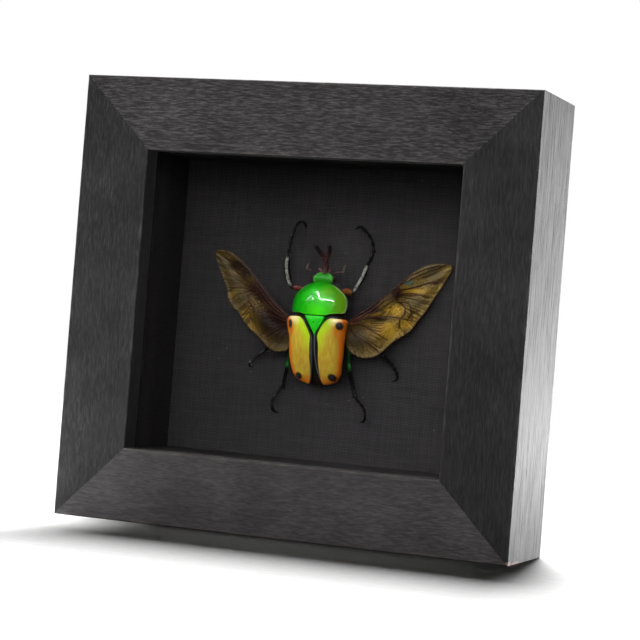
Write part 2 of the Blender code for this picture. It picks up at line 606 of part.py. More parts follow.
def pronotum(mat):
    """The domed green shield, as rings that close in from its outline to its middle."""
    half = PRONOTUM_HALF_OUTLINE
    outline = half + [(-u, v) for u, v in reversed(half[1:-1])]
    line = along(smooth_line(outline + outline[:1], CURVE_STEPS), PRONOTUM_SIDES + 1)[:-1]
    centre = np.array(PRONOTUM_CENTRE)
    upper_shares = (1.0, 0.965, 0.88, 0.74, 0.54, 0.28)
    under_shares = (1.0, 0.85, 0.5)
    vertices, faces = [], []
    for lift, ring_shares in ((0.0, upper_shares), (-PRONOTUM_THICKNESS, under_shares)):
        start = len(vertices)
        for share in ring_shares:
            for p in line:
                u, v = centre + (p - centre) * share
                vertices.append(at(u, v, pronotum_height(u, v) + lift))
        vertices.append(at(*centre, pronotum_height(*centre) + lift))
        pole = len(vertices) - 1
        for i in range(len(ring_shares)):
            for k in range(PRONOTUM_SIDES):
                a = start + i * PRONOTUM_SIDES + k
                b = start + i * PRONOTUM_SIDES + (k + 1) % PRONOTUM_SIDES
                innermost = i == len(ring_shares) - 1
                faces.append((a, b, pole) if innermost else (a, b, b + PRONOTUM_SIDES, a + PRONOTUM_SIDES))
    under = PRONOTUM_SIDES * len(upper_shares) + 1
    for k in range(PRONOTUM_SIDES):
        j = (k + 1) % PRONOTUM_SIDES
        faces.append((k, j, under + j, under + k))
    return add_object("pronotum", vertices, faces, mat, 50)


def body_ring(v):
    """The body's section at one place, kept clear of the covers above it."""
    ring = []
    for k in range(BODY_SIDES):
        turn = 2 * math.pi * k / BODY_SIDES
        u = body_half_width(v) * math.cos(turn)
        middle = body_middle(v)
        rise = math.sin(turn)
        if rise >= 0:
            ceiling = cover_height(u, v) - COVER_CLEARANCE
            h = middle + (ceiling - middle) * rise ** 0.5
        else:
            h = middle - (middle - body_belly(v)) * (-rise) ** 0.7
        ring.append((u, v, h))
    return ring


def scutellum(mat):
    """The small green triangle between the wing covers, a little proud of the body."""
    base = SCUTELLUM_TOP - 1.6
    layers = [(base, 1.0), (SCUTELLUM_TOP - 0.15, 1.0), (SCUTELLUM_TOP, 0.88)]
    w, front, apex = SCUTELLUM_HALF_WIDTH, SCUTELLUM_FRONT, SCUTELLUM_APEX
    waist = (w * 0.52, -0.9)
    corners = [(-w, front), (-w / 3, front + 0.05), (w / 3, front + 0.05), (w, front), waist,
               (0.0, apex), (-waist[0], waist[1])]
    rings = []
    for height, share in layers:
        rings.append([(u * share, front + (v - front) * share - (1 - share), height) for u, v in corners])
    return loft("scutellum", rings, mat)


def beetle_body(mat):
    """Thorax and abdomen in one piece, with the scutellum on top and the pin's hole through."""
    body = loft("body", [body_ring(v) for v in BODY_PLACES], mat)
    combine(body, scutellum(mat), "UNION")
    hole = rod("hole", at(0, 0, 13), at(0, 0, 0), PIN_HOLE_RADIUS * MM, 12, mat)
    return combine(body, hole, "DIFFERENCE")


def ball(name, centre, radius, mat, across=10, down=7):
    """A round bump as stacked rings."""
    rings = []
    for i in range(1, down):
        tilt = math.pi * i / down
        turns = [2 * math.pi * k / across for k in range(across)]
        rings.append([(centre[0] + radius * math.sin(tilt) * math.cos(a),
                       centre[1] + radius * math.sin(tilt) * math.sin(a),
                       centre[2] + radius * math.cos(tilt)) for a in turns])
    return loft(name, rings, mat)


def head(mat):
    """Head with eyes, antennae, mouth lobes and the forked horn, in one piece."""
    rings = []
    for v in HEAD_PLACES:
        low, high = head_bottom(v), head_top(v)
        ring = []
        for k in range(HEAD_SIDES):
            turn = 2 * math.pi * k / HEAD_SIDES
            across = math.copysign(abs(math.cos(turn)) ** 0.8, math.cos(turn))
            u = head_half_width(v) * across
            ring.append((u, v, (low + high) / 2 + (high - low) / 2 * math.sin(turn)))
        rings.append(ring)
    piece = loft("head", rings, mat)
    for route in [HORN_STEM, *HORN_PRONGS]:
        combine(piece, tube("horn", route, 8, mat), "UNION")
    for route in MOUTH_LOBES + ANTENNA_STALKS + ANTENNA_CLUBS:
        combine(piece, tube("feeler", route, 6, mat), "UNION")
    u, v, h = EYE_PLACE
    for sign in (-1, 1):
        combine(piece, ball("eye", (sign * u, v, h), EYE_RADIUS, mat), "UNION")
    return piece


def foot_points(route):
    """Beads of the foot: each joint swells and narrows again along the route."""
    stops = along(smooth_line(route, CURVE_STEPS), 2 * FOOT_JOINTS + 1)
    points = []
    for k, p in enumerate(stops):
        taper = 1.0 - 0.25 * k / len(stops)
        points.append((*p, taper * (FOOT_RADIUS if k % 2 else FOOT_NECK_RADIUS)))
    return points


def leg(name, mat):
    """One leg: femur, tibia with two spurs, beaded foot and a pair of claws."""
    parts = LEGS[name]
    piece = tube(name, smooth_line(parts["femur"], 2), 7, mat, 0.8)
    combine(piece, tube("tibia", parts["tibia"], 7, mat, 0.7), "UNION")
    combine(piece, tube("foot", foot_points(parts["foot"]), 5, mat), "UNION")
    ankle = np.array(parts["tibia"][-1][:3])
    ahead = ankle - np.array(parts["tibia"][-2][:3])
    ahead = ahead / np.linalg.norm(ahead)
    side = np.cross(ahead, (0.0, 0.0, 1.0))
    for lean in (-SPUR_LEAN, SPUR_LEAN):
        tip = ankle + (ahead + side * lean) * SPUR_LENGTH
        spur = [(*(ankle - ahead * SPUR_RADIUS), SPUR_RADIUS), (*tip, SPUR_TIP_RADIUS)]
        combine(piece, tube("spur", spur, 4, mat), "UNION")
    route = np.array(parts["claw"], float)
    for lift in (CLAW_SPREAD, -CLAW_SPREAD):
        points = route + np.outer((0, 1, 1, 1), (0.0, 0.0, lift))
        line = [(*p, CLAW_RADIUS * taper) for p, taper in zip(points, CLAW_TAPER)]
        combine(piece, tube("claw", line, 4, mat), "UNION")
    return piece


def wing_point(side, row, across):
    """A point of the pleated hindwing: a row from root to tip, across from front to back edge."""
    front = wing_front[side][row]
    back = wing_back[side][row]
    u, v, h = front + (back - front) * across
    fade = math.sin(math.pi * row / (WING_ROWS - 1)) ** 0.5
    pleat = WING_PLEAT_HEIGHT * math.sin(2 * math.pi * WING_PLEATS * across)
    sag = WING_SAG * math.sin(math.pi * across)
    return u, v, h + (pleat - sag) * fade


def hindwing(side, mat):
    """One spread hindwing: a thin pleated sheet, thickest along its leading edge."""
    sign = -1 if side == "left" else 1
    top, bottom = [], []
    for i in range(WING_ROWS):
        upper, lower = [], []
        for j in range(WING_COLUMNS):
            across = j / (WING_COLUMNS - 1)
            u, v, h = wing_point(side, i, across)
            fold = (1 - across) ** 6 * (1 - i / WING_ROWS)
            half = (WING_THICKNESS + (WING_EDGE_THICKNESS - WING_THICKNESS) * fold) / 2
            upper.append((sign * u, v, h + half))
            lower.append((sign * u, v, h - half))
        top.append(upper)
        bottom.append(lower)
    piece = closed_sheet(side + "_hindwing", top, bottom, mat)
    for across, reach in VEINS:
        route = []
        for i in range(1, reach):
            u, v, h = wing_point(side, i, across)
            route.append((sign * u, v, h + VEIN_LIFT, VEIN_RADIUS - VEIN_TAPER * i))
        combine(piece, tube("vein", route, 5, mat), "UNION")
    return piece


def build_beetle():
    """Body, shield, head, wing covers, hindwings, legs and the pin."""
    beetle_body(material("beetle_body_black", "17140F", 0.3))
    pronotum(material("pronotum_green", "1FB80A", 0.12, metallic=0.3))
    head(material("head_green", "2E9A1E", 0.25, metallic=0.2))
    elytron_paint = material("elytra_gold", "B7A12C", 0.3)
    wing_skin = material("hindwing_amber", "6B5722", 0.4)
    leg_black = material("leg_black", "1C1A1A", 0.25)
    for side in ("left", "right"):
        elytron(side, elytron_paint)
        hindwing(side, wing_skin)
    for name in LEGS:
        leg(name, leg_black)
    rod("pin", at(0, 0, PIN_TOP), at(0, 0, PIN_BOTTOM), PIN_RADIUS * MM, 10,
        material("pin_steel", "2A2A2C", 0.3, metallic=1.0))


clear_scene()
build_frame()
build_beetle()
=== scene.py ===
# %% [markdown]
# # A framed flower beetle
# The real thing is a small shadow box: four mitred wooden rails, a pane of glass, black strips that
# hold a linen-covered board away from the glass, and one horned flower beetle on a pin. Its plain
# solids are loaded first, because they say where every piece is. Each step below then makes one
# piece or one finish, in metres, in the same place as its solid.

import json
import math

import bmesh
import bpy
import numpy as np
from mathutils import Matrix, Vector, noise

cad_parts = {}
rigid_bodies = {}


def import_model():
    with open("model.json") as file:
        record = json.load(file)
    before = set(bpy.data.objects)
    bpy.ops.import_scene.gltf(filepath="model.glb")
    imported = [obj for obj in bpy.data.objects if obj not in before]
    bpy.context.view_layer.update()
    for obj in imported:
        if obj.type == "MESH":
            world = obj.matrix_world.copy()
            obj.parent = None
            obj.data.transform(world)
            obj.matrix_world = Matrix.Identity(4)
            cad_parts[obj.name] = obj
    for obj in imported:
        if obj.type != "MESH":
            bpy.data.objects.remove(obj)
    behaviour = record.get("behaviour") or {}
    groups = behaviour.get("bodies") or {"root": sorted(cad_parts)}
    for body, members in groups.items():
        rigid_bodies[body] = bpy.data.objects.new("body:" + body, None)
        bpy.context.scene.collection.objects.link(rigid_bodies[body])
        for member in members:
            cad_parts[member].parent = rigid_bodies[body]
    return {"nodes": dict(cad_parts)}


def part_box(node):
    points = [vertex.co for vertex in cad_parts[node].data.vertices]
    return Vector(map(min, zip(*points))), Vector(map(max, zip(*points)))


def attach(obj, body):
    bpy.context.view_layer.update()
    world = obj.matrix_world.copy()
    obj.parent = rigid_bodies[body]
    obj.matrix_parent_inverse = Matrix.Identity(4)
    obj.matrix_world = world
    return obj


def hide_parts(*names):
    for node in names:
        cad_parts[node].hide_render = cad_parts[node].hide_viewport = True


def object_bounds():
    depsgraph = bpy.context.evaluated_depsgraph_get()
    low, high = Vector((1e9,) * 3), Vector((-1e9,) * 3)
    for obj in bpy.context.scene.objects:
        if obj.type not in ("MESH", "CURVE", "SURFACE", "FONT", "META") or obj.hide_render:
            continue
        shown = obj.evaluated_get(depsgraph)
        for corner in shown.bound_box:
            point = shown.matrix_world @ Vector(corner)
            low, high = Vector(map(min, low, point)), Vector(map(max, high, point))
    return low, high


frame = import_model()
CAD_BOX = [list(corner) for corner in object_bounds()]
MM = 0.001
print("solids loaded:", len(frame["nodes"]), "box:", CAD_BOX)

# %% [markdown]
# ## Colours and node trees
# A finish starts from what the real material is. Colours are given as they look on a screen, in
# sRGB hex, so one function turns them into the linear values that light is reckoned in. One more
# function adds a node, whatever its kind, with its settings and links. Values that are the same all
# over a surface are set on the shader's own sockets. Most finishes vary in the same three ways, in
# colour, in gloss and in relief, so one function links a pattern to any of these. Two short ones make
# a mesh and put an object in the scene.

# %% Helpers for materials, meshes and objects
def srgb(code):
    """Linear RGBA from an sRGB hex string."""
    parts = [int(code[i:i + 2], 16) / 255 for i in (0, 2, 4)]
    return (*[c / 12.92 if c <= 0.04045 else ((c + 0.055) / 1.055) ** 2.4 for c in parts], 1.0)


def add(tree, kind, inputs=None, stops=None, **settings):
    """Adds a node: its settings, a ramp's stops, and its inputs, each linked or set to a value."""
    made = tree.nodes.new(kind)
    for name, value in settings.items():
        setattr(made, name, value)
    if stops:
        ramp = made.color_ramp
        ramp.elements[0].position, ramp.elements[1].position = stops[0][0], stops[-1][0]
        ramp.elements[0].color, ramp.elements[1].color = srgb(stops[0][1]), srgb(stops[-1][1])
        for place, code in stops[1:-1]:
            ramp.elements.new(place).color = srgb(code)
    for name, value in (inputs or {}).items():
        if isinstance(value, bpy.types.NodeSocket):
            tree.links.new(value, made.inputs[name])
        else:
            colour = made.inputs[name].type == "RGBA" and isinstance(value, str)
            made.inputs[name].default_value = srgb(value) if colour else value
    return made


def finish(name, values):
    """A Principled material with its constant values on the shader; also its tree and shader."""
    mat = bpy.data.materials.new(name)
    mat.use_nodes = True
    shader = mat.node_tree.nodes["Principled BSDF"]
    for key, value in values.items():
        shader.inputs[key].default_value = srgb(value) if isinstance(value, str) else value
    return mat, mat.node_tree, shader


def painted(tree, ground, layers):
    """A ground colour with others laid over it, each where its mask is painted on the points."""
    for name, colour in layers:
        where = add(tree, "ShaderNodeAttribute", attribute_name=name).outputs["Fac"]
        ground = add(tree, "ShaderNodeMix", {0: where, 6: ground, 7: colour},
                     data_type="RGBA").outputs[2]
    return ground


def grained(tree, size_mm, detail=3.0, rough=0.55):
    """Noise on object coordinates; its spots have this size in mm, or these along X, Y and Z."""
    where = add(tree, "ShaderNodeTexCoord").outputs["Object"]
    scale = [1 / (s * MM) for s in np.broadcast_to(size_mm, 3)]
    put = add(tree, "ShaderNodeMapping", {"Vector": where, "Scale": scale})
    return add(tree, "ShaderNodeTexNoise", {"Vector": put.outputs["Vector"], "Scale": 1.0,
                                            "Detail": detail, "Roughness": rough}).outputs["Fac"]


def surfaced(tree, shader, pattern, stops=None, layers=(), gloss=None, relief=None):
    """Lets a pattern drive the shader: colours with painted layers, roughness, and relief in mm."""
    if stops:
        ground = add(tree, "ShaderNodeValToRGB", {"Fac": pattern}, stops=stops).outputs["Color"]
        tree.links.new(painted(tree, ground, layers), shader.inputs["Base Color"])
    if gloss:
        spread = add(tree, "ShaderNodeMapRange", {"Value": pattern, "To Min": gloss[0], "To Max": gloss[1]})
        tree.links.new(spread.outputs["Result"], shader.inputs["Roughness"])
    if relief:
        bump = add(tree, "ShaderNodeBump", {"Height": pattern, "Strength": relief[0],
                                            "Distance": relief[1] * MM})
        tree.links.new(bump.outputs["Normal"], shader.inputs["Normal"])


def meshed(name, points, edges, faces, numbers=None):
    """A mesh of points, edges and faces, with named numbers painted on its points."""
    mesh = bpy.data.meshes.new(name)
    mesh.from_pydata([tuple(p) for p in points], edges, faces)
    for key, values in (numbers or {}).items():
        layer = mesh.attributes.new(key, "FLOAT", "POINT")
        layer.data.foreach_set("value", np.asarray(values, dtype=np.float32))
    return mesh


def placed(name, data):
    """A new object in the scene."""
    obj = bpy.data.objects.new(name, data)
    bpy.context.scene.collection.objects.link(obj)
    return obj


def dress(names, mat):
    """Gives a material to the solids that keep their own shape."""
    for name in names:
        solid = frame["nodes"][name]
        solid.data.materials.clear()
        solid.data.materials.append(mat)

# %% [markdown]
# ## Camera and light
# The photo was taken from a little to the right of the front, level with the middle of the box, with
# a long lens and a slight tilt of the camera.

# %% Camera
CAMERA_PLACE = (0.2222, -0.5770, 0.0593)
CAMERA_YAW, CAMERA_PITCH, CAMERA_ROLL = 20.83, 0.38, 4.51
CAMERA_LENS = 118.5

eye = bpy.data.cameras.new("camera")
eye.lens = CAMERA_LENS
camera = placed("camera", eye)
turn = (Matrix.Rotation(math.radians(CAMERA_YAW), 4, "Z")
        @ Matrix.Rotation(math.radians(90 + CAMERA_PITCH), 4, "X")
        @ Matrix.Rotation(math.radians(CAMERA_ROLL), 4, "Z"))
camera.matrix_world = Matrix.Translation(CAMERA_PLACE) @ turn
bpy.context.scene.camera = camera
bpy.context.scene.view_settings.view_transform = "Standard"
print("camera turned to the left by", CAMERA_YAW, "degrees, lens", CAMERA_LENS, "mm")

# %% [markdown]
# The box stands on white paper before a white backdrop. The sky is that backdrop and no more: only
# the camera sees it, and it lights nothing.

# %% Paper floor and sky
SQUARE = ((-1, -1), (1, -1), (1, 1), (-1, 1))
FLOOR_HALF = 0.75
paper, tree, shader = finish("white_paper", {"Roughness": 0.95, "Specular IOR Level": 0.1})
surfaced(tree, shader, grained(tree, 4), [(0.3, "F7F7F6"), (0.7, "FFFFFF")])
mesh = meshed("floor", [(x * FLOOR_HALF, y * FLOOR_HALF, 0.0) for x, y in SQUARE], [], [(0, 1, 2, 3)])
mesh.materials.append(paper)
floor = placed("floor", mesh)
floor.visible_glossy = floor.visible_transmission = False

world = bpy.data.worlds.new("sky")
world.use_nodes = True
world.node_tree.nodes["Background"].inputs["Color"].default_value = (1.0, 1.0, 1.0, 1.0)
for ray in ("diffuse", "glossy", "transmission"):
    setattr(world.cycles_visibility, ray, False)
bpy.context.scene.world = world
print("paper floor:", 2 * FLOOR_HALF, "m wide")

# %% [markdown]
# A soft box above and a little behind makes the paper white and leaves a short dark shadow in front
# of the box. Two soft lights behind on the right shine along the right flank. In front, a broad
# matte fill from the upper left lights the inside, and the glow of the room lights the case. A soft
# patch and three narrow bars, like the panes of a window, make the glints on the beetle, and light
# nothing else but the pane before it. The lamps beside and in front leave the paper alone, as flags
# do in a studio, so the shadow stays dark. A small snoot brightens the paper at the lower left.

# %% Lamps
SNOOT_SPREAD = 75
LAMPS = {  # place, size, watts, lean in degrees, what it lights
    "overhead": ((-0.14, 0.70, 1.60), (0.25, 0.6), 46.0, 0, "all"),
    "right_back": ((0.60, 0.98, 0.14), (0.6, 0.24), 5.8, 0, "off_paper"),
    "right_back_low": ((0.16, 0.25, 0.02), (0.16, 0.035), 0.31, 0, "off_paper"),
    "front_fill": ((-1.30, -0.72, 0.50), (0.9, 0.9), 19.0, 0, "off_paper"),
    "room": ((0.30, -1.25, 0.35), (1.0, 0.8), 5.5, 0, "case"),
    "snoot": ((-0.113, -0.046, 0.09), (0.03, 0.03), 0.15, 0, "paper"),
    "front_patch": ((-0.56, -0.73, 0.46), (0.09, 0.32), 0.26, -30, "beetle"),
    "front_bar": ((0.11, -0.83, 0.457), (0.77, 0.05), 2.8, 0, "beetle"),
    "front_slant": ((-0.315, -0.737, 0.628), (0.045, 0.40), 1.6, 27, "beetle"),
    "front_tick": ((-0.42, -0.82, 0.452), (0.04, 0.12), 0.3, 0, "beetle"),
}

lit = {name: bpy.data.collections.new(name) for name in ("off_paper", "beetle", "case", "paper")}
lit["paper"].objects.link(floor)
lit["off_paper"].objects.link(floor)
lit["off_paper"].collection_objects[0].light_linking.link_state = "EXCLUDE"
middle = (Vector(CAD_BOX[0]) + Vector(CAD_BOX[1])) / 2
for name, (place, size, watts, lean, lights) in LAMPS.items():
    lamp = bpy.data.lights.new(name, "AREA")
    lamp.shape = "RECTANGLE"
    lamp.size, lamp.size_y = size
    lamp.energy = watts
    holder = placed(name, lamp)
    facing = (middle - Vector(place)).to_track_quat("-Z", "Y").to_matrix().to_4x4()
    tilt = Matrix.Rotation(math.radians(lean), 4, "Z")
    holder.matrix_world = Matrix.Translation(place) @ facing @ tilt
    holder.visible_camera = False
    holder.visible_glossy = holder.visible_transmission = name not in ("front_fill", "room")
    holder.light_linking.receiver_collection = lit.get(lights)
bpy.data.objects["snoot"].matrix_world = Matrix.Translation(LAMPS["snoot"][0])  # straight down
bpy.data.lights["snoot"].spread = math.radians(SNOOT_SPREAD)
print("lamps:", len(LAMPS))

# %% [markdown]
# ## The wooden rails
# Each rail is a length of light open-grained wood, planed to an L-shaped section, mitred at both
# ends and stained black. The stain fills the surface evenly but leaves the pores as fine grooves
# along the rail. So each rail is swept here with a fine section, and every point is sunk by a noise
# that is long along the rail and narrow across it. Sinking only inwards keeps the rail's size.

# %% Sizes of the rails, read from their solids
front_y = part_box("top_rail")[0][1]
back_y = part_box("top_rail")[1][1]
FRAME_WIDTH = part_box("top_rail")[1][0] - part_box("top_rail")[0][0]
FRAME_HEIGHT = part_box("left_rail")[1][2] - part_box("left_rail")[0][2]
FRAME_DEPTH = back_y - front_y
MOULDING_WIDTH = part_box("left_rail")[1][0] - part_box("left_rail")[0][0]
LIP_DEPTH = 7.0 * MM
RABBET_INSET = MOULDING_WIDTH - 6.0 * MM
MITRE_GAP = 0.05 * MM
SECTION_STEP, ARC_STEPS = 0.3 * MM, 8
RAIL_ROWS = 110
PORE_LENGTH, PORE_WIDTH, PORE_DEPTH = 4.0 * MM, 0.42 * MM, 0.04 * MM
PORE_START, PORE_SPAN = 0.12, 0.5
NICK_LENGTH, NICK_WIDTH, NICK_DEPTH = 3 * MM, 2 * MM, 0.1 * MM
WEAR_WIDTH = 0.45 * MM
print("frame:", round(FRAME_WIDTH / MM, 1), "by", round(FRAME_HEIGHT / MM, 1), "mm")


def section_corners():
    """Corners of the moulding's section as (inset from outside, depth from the front, radius)."""
    return [(0, 0, 0.6 * MM), (MOULDING_WIDTH, 0, 0.35 * MM), (MOULDING_WIDTH, LIP_DEPTH, 0.25 * MM),
            (RABBET_INSET, LIP_DEPTH, 0), (RABBET_INSET, FRAME_DEPTH, 0.3 * MM),
            (0, FRAME_DEPTH, 1.0 * MM)]


def fine_section():
    """The section as closely spaced points, with each radius as an arc."""
    corners, outline = section_corners(), []
    for k, (a, b, radius) in enumerate(corners):
        corner = Vector((a, b))
        before = (Vector(corners[k - 1][:2]) - corner).normalized()
        after = (Vector(corners[(k + 1) % len(corners)][:2]) - corner).normalized()
        centre = corner + (before + after) * radius
        for step in range(ARC_STEPS + 1 if radius else 1):
            angle = math.pi / 2 * step / ARC_STEPS
            outline.append(centre - after * radius * math.cos(angle) - before * radius * math.sin(angle))
    points = []
    for a, b in zip(outline, outline[1:] + outline[:1]):
        steps = max(1, round((b - a).length / SECTION_STEP))
        points += [a.lerp(b, k / steps) for k in range(steps)]
    return np.array([tuple(p) for p in points])


# %% Sweep the four rails
def tube_faces(rows, sides):
    """Faces of a closed loft: its sides and both end caps."""
    faces = [tuple(range(sides)), tuple((rows - 1) * sides + k for k in range(sides))]
    for i in range(rows - 1):
        for k in range(sides):
            j = (k + 1) % sides
            faces.append((i * sides + k, i * sides + j, (i + 1) * sides + j, (i + 1) * sides + k))
    return faces


def mitred_rail(side, seed):
    """Points, faces and wear mask of one rail, with pores along its length."""
    section = fine_section()
    count = len(section)
    ahead = np.roll(section, -1, axis=0) - np.roll(section, 1, axis=0)
    ahead /= np.linalg.norm(ahead, axis=1)[:, None]
    inward = np.stack([-ahead[:, 1], ahead[:, 0]], axis=1)
    round_way = np.concatenate([[0.0], np.cumsum(np.linalg.norm(np.diff(section, axis=0), axis=1))])
    arrises = np.array([c[:2] for c in section_corners() if c[2]])
    near = np.min(np.linalg.norm(section[:, None] - arrises[None], axis=2), axis=1)
    level = side in ("top", "bottom")
    half = (FRAME_WIDTH if level else FRAME_HEIGHT) / 2
    handled = 1.0 if side == "bottom" else 0.25
    points, wear = [], []
    for t in np.linspace(-1, 1, RAIL_ROWS):
        for k in range(count):
            run = t * (half - section[k, 0])
            place = Vector((run / PORE_LENGTH, round_way[k] / PORE_WIDTH, seed))
            pore = max(noise.noise(place) - PORE_START, 0.0) / PORE_SPAN
            place = Vector((run / NICK_LENGTH, round_way[k] / NICK_WIDTH, seed + 9))
            nick = max(noise.noise(place), 0.0)
            edge = math.exp(-(near[k] / WEAR_WIDTH) ** 2)
            sunk = PORE_DEPTH * min(pore, 1.0) + NICK_DEPTH * edge * nick
            inset, depth = section[k] + inward[k] * sunk
            run = t * (half - inset - MITRE_GAP / 2)
            if level:
                z = inset if side == "bottom" else FRAME_HEIGHT - inset
                points.append((run, front_y + depth, z))
            else:
                x = inset - FRAME_WIDTH / 2 if side == "left" else FRAME_WIDTH / 2 - inset
                points.append((x, front_y + depth, FRAME_HEIGHT / 2 + run))
            wear.append(min(edge * (0.3 * handled + 1.5 * nick * (0.4 + 0.6 * handled)), 1.0))
    return points, tube_faces(RAIL_ROWS, count), {"wear": wear}


# %% [markdown]
# Every finished piece goes through one function. It paints the masks on the points, turns the faces
# outwards, gives the materials, hides the solids that the piece stands for, and sets it on the one
# body of this part.

# %% Finished pieces
def turned_out(mesh):
    """Turns a closed mesh's faces outwards."""
    bm = bmesh.new()
    bm.from_mesh(mesh)
    bmesh.ops.recalc_face_normals(bm, faces=bm.faces)
    bm.to_mesh(mesh)
    bm.free()


def entered(obj, nodes):
    """Hides the solids a piece stands for, and sets the piece on the one body."""
    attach(obj, "root")
    if nodes:
        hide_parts(*nodes)
    print(obj.name, "triangles:", sum(len(p.vertices) - 2 for p in obj.data.polygons))


def finished(name, points, faces, mats, nodes, masks=None, face_mats=None, sharp=None):
    """A mesh in its place that replaces solids; masks are numbers painted on its points."""
    mesh = meshed(name, points, [], faces, masks)
    if face_mats is not None:
        mesh.polygons.foreach_set("material_index", np.asarray(face_mats, dtype=np.int32))
    turned_out(mesh)
    for mat in mats:
        mesh.materials.append(mat)
    mesh.shade_smooth()
    if sharp:
        mesh.set_sharp_from_angle(angle=math.radians(sharp))
    entered(placed(name, mesh), nodes)


# %% [markdown]
# ## Black-stained open-pored wood
# Stained ash or paulownia keeps its grain: matte charcoal, with thin lighter and darker streaks a
# few tenths of a millimetre wide that run along the rail. Edges that are handled lose some stain and
# show a dusty brown-grey. All four rails share one stain, but each has its own tones as painted
# light: the bottom rail is painted lightest, the top one next, and the two sides darkest. The nail
# holes on the flank are black spots, painted shade of holes that are not modelled.

# %% Wood finish, one for each rail
STREAK_WIDTH, STREAK_LENGTH = 0.28, 2.4
BAND_WIDTH, BAND_LENGTH = 0.9, 14.0
SHEEN = {"top": (0.3, 0.7), "bottom": (0.4, 0.6), "left": (0.4, 0.6), "right": (0.1, 1.2)}
# The nail holes are painted shade: black spots where the holes themselves are not modelled.
MARKS = {"right": [  # nail holes and chips: depth and height in mm on the flank, radii, colour
    ((29.8, 75.9), (1.0, 0.65, 0.65), "080808"), ((12.5, 25.3), (1.0, 0.65, 0.65), "080808"),
    ((1.2, 0.2), (1.1, 2.0, 0.9), "C8A296"), ((8.0, 0.1), (0.8, 4.6, 0.7), "A88A80")]}
# Painted light on one stain: the bottom rail lightest, the top next, the two sides darkest.
WOOD_TONES_AS_LIT = {
    "top": ("333132", "403E3E", "5A5858"),
    "bottom": ("423F41", "4E4B4C", "5C595A"),
    "left": ("2E2E2E", "343435", "424243"),
    "right": ("2E2D2E", "343334", "3E3D3E"),
}


def stained_wood(side):
    """Charcoal wood whose streaks run along one rail."""
    mat, tree, shader = finish(side + "_stained_wood", {})
    long_way = 0 if side in ("top", "bottom") else 2
    sizes, band_sizes = [STREAK_WIDTH] * 3, [BAND_WIDTH] * 3
    sizes[long_way], band_sizes[long_way] = STREAK_LENGTH, BAND_LENGTH
    streaks = grained(tree, sizes, 4.0, 0.6)
    dark, plain, light = WOOD_TONES_AS_LIT[side]
    tone = add(tree, "ShaderNodeValToRGB", {"Fac": streaks},
               stops=[(0.38, dark), (0.5, plain), (0.64, light)])
    cloud = add(tree, "ShaderNodeValToRGB", {"Fac": grained(tree, 22, 2.0)},
                stops=[(0.3, "D8D8D8"), (0.7, "FFFFFF")])
    shaded = add(tree, "ShaderNodeMix", {0: 1.0, 6: tone.outputs["Color"], 7: cloud.outputs["Color"]},
                 data_type="RGBA", blend_type="MULTIPLY").outputs[2]
    worn = painted(tree, shaded, [("wear", "6E6864")])
    where = add(tree, "ShaderNodeTexCoord").outputs["Object"]
    for (depth, rise), radii, colour in MARKS.get(side, ()):
        place = (FRAME_WIDTH / 2, front_y + depth * MM, rise * MM)
        put = add(tree, "ShaderNodeMapping", {"Vector": where, "Scale": [1 / (r * MM) for r in radii],
                                              "Location": [-p / (r * MM) for p, r in zip(place, radii)]})
        gap = add(tree, "ShaderNodeVectorMath", {0: put.outputs["Vector"]}, operation="LENGTH")
        mark = add(tree, "ShaderNodeMapRange", {"Value": gap.outputs["Value"],
                                                "From Min": 1.2, "From Max": 0.8}).outputs["Result"]
        worn = add(tree, "ShaderNodeMix", {0: mark, 6: worn, 7: colour}, data_type="RGBA").outputs[2]
    tree.links.new(worn, shader.inputs["Base Color"])
    low, high = SHEEN[side]
    sheen = add(tree, "ShaderNodeMapRange", {"Value": grained(tree, band_sizes, 3.0, 0.7),
                                             "From Min": 0.32, "From Max": 0.68,
                                             "To Min": low, "To Max": high})
    tree.links.new(sheen.outputs["Result"], shader.inputs["Specular IOR Level"])
    surfaced(tree, shader, streaks, gloss=(0.48, 0.7), relief=(0.6, 0.1))
    return mat


for number, side in enumerate(WOOD_TONES_AS_LIT):
    points, faces, masks = mitred_rail(side, 3.7 * number)
    finished(side + "_wood", points, faces, [stained_wood(side)], [side + "_rail"],
             masks, sharp=40)

# %% [markdown]
# ## Glass, strips, board and back
# These keep their solids, because a cut sheet is flat. The pane is plain float glass: clear, with the
# faint green of its iron. It casts no shadow here, because real window glass hardly dims the light,
# and a path tracer finds a lamp through glass only with difficulty.

# %% Float glass
GLASS_IOR = 1.5
mat, tree, shader = finish("float_glass", {"Roughness": 0.0, "IOR": GLASS_IOR, "Transmission Weight": 1.0})
surfaced(tree, shader, grained(tree, 30), [(0.3, "F8FCFA"), (0.7, "FDFFFE")])
dress(["glass_pane"], mat)
frame["nodes"]["glass_pane"].visible_shadow = False

# %% [markdown]
# The board behind the beetle is covered in charcoal paper that is embossed like linen: two sets of
# ribs, not quite half a millimetre apart, cross each other, and some threads are thicker. Two wave
# textures in X and Z make the ribs, and a noise that is long one way breaks them up.

# %% Linen-embossed paper
RIB_PITCH = 0.46 * MM
WAVE_PERIOD = math.pi / 10
mat, tree, shader = finish("linen_paper", {"Roughness": 0.9, "Specular IOR Level": 0.25})
where = add(tree, "ShaderNodeTexCoord").outputs["Object"]
ribs = []
for axis, long_way in (("X", (0.7, 1, 9)), ("Z", (9, 1, 0.7))):
    wave = add(tree, "ShaderNodeTexWave", {"Vector": where, "Scale": WAVE_PERIOD / RIB_PITCH,
                                           "Distortion": 0.15, "Detail": 1.0},
               wave_type="BANDS", bands_direction=axis)
    slub = grained(tree, long_way, 3.0, 0.6)
    ribs.append(add(tree, "ShaderNodeMath", {0: wave.outputs["Fac"], 1: slub},
                    operation="MULTIPLY").outputs[0])
weave = add(tree, "ShaderNodeMath", {0: ribs[0], 1: ribs[1]}, operation="ADD").outputs[0]
surfaced(tree, shader, weave, [(0.1, "242224"), (0.5, "302E30"), (0.95, "444042")], relief=(0.4, 0.06))
dress(["mount_board"], mat)

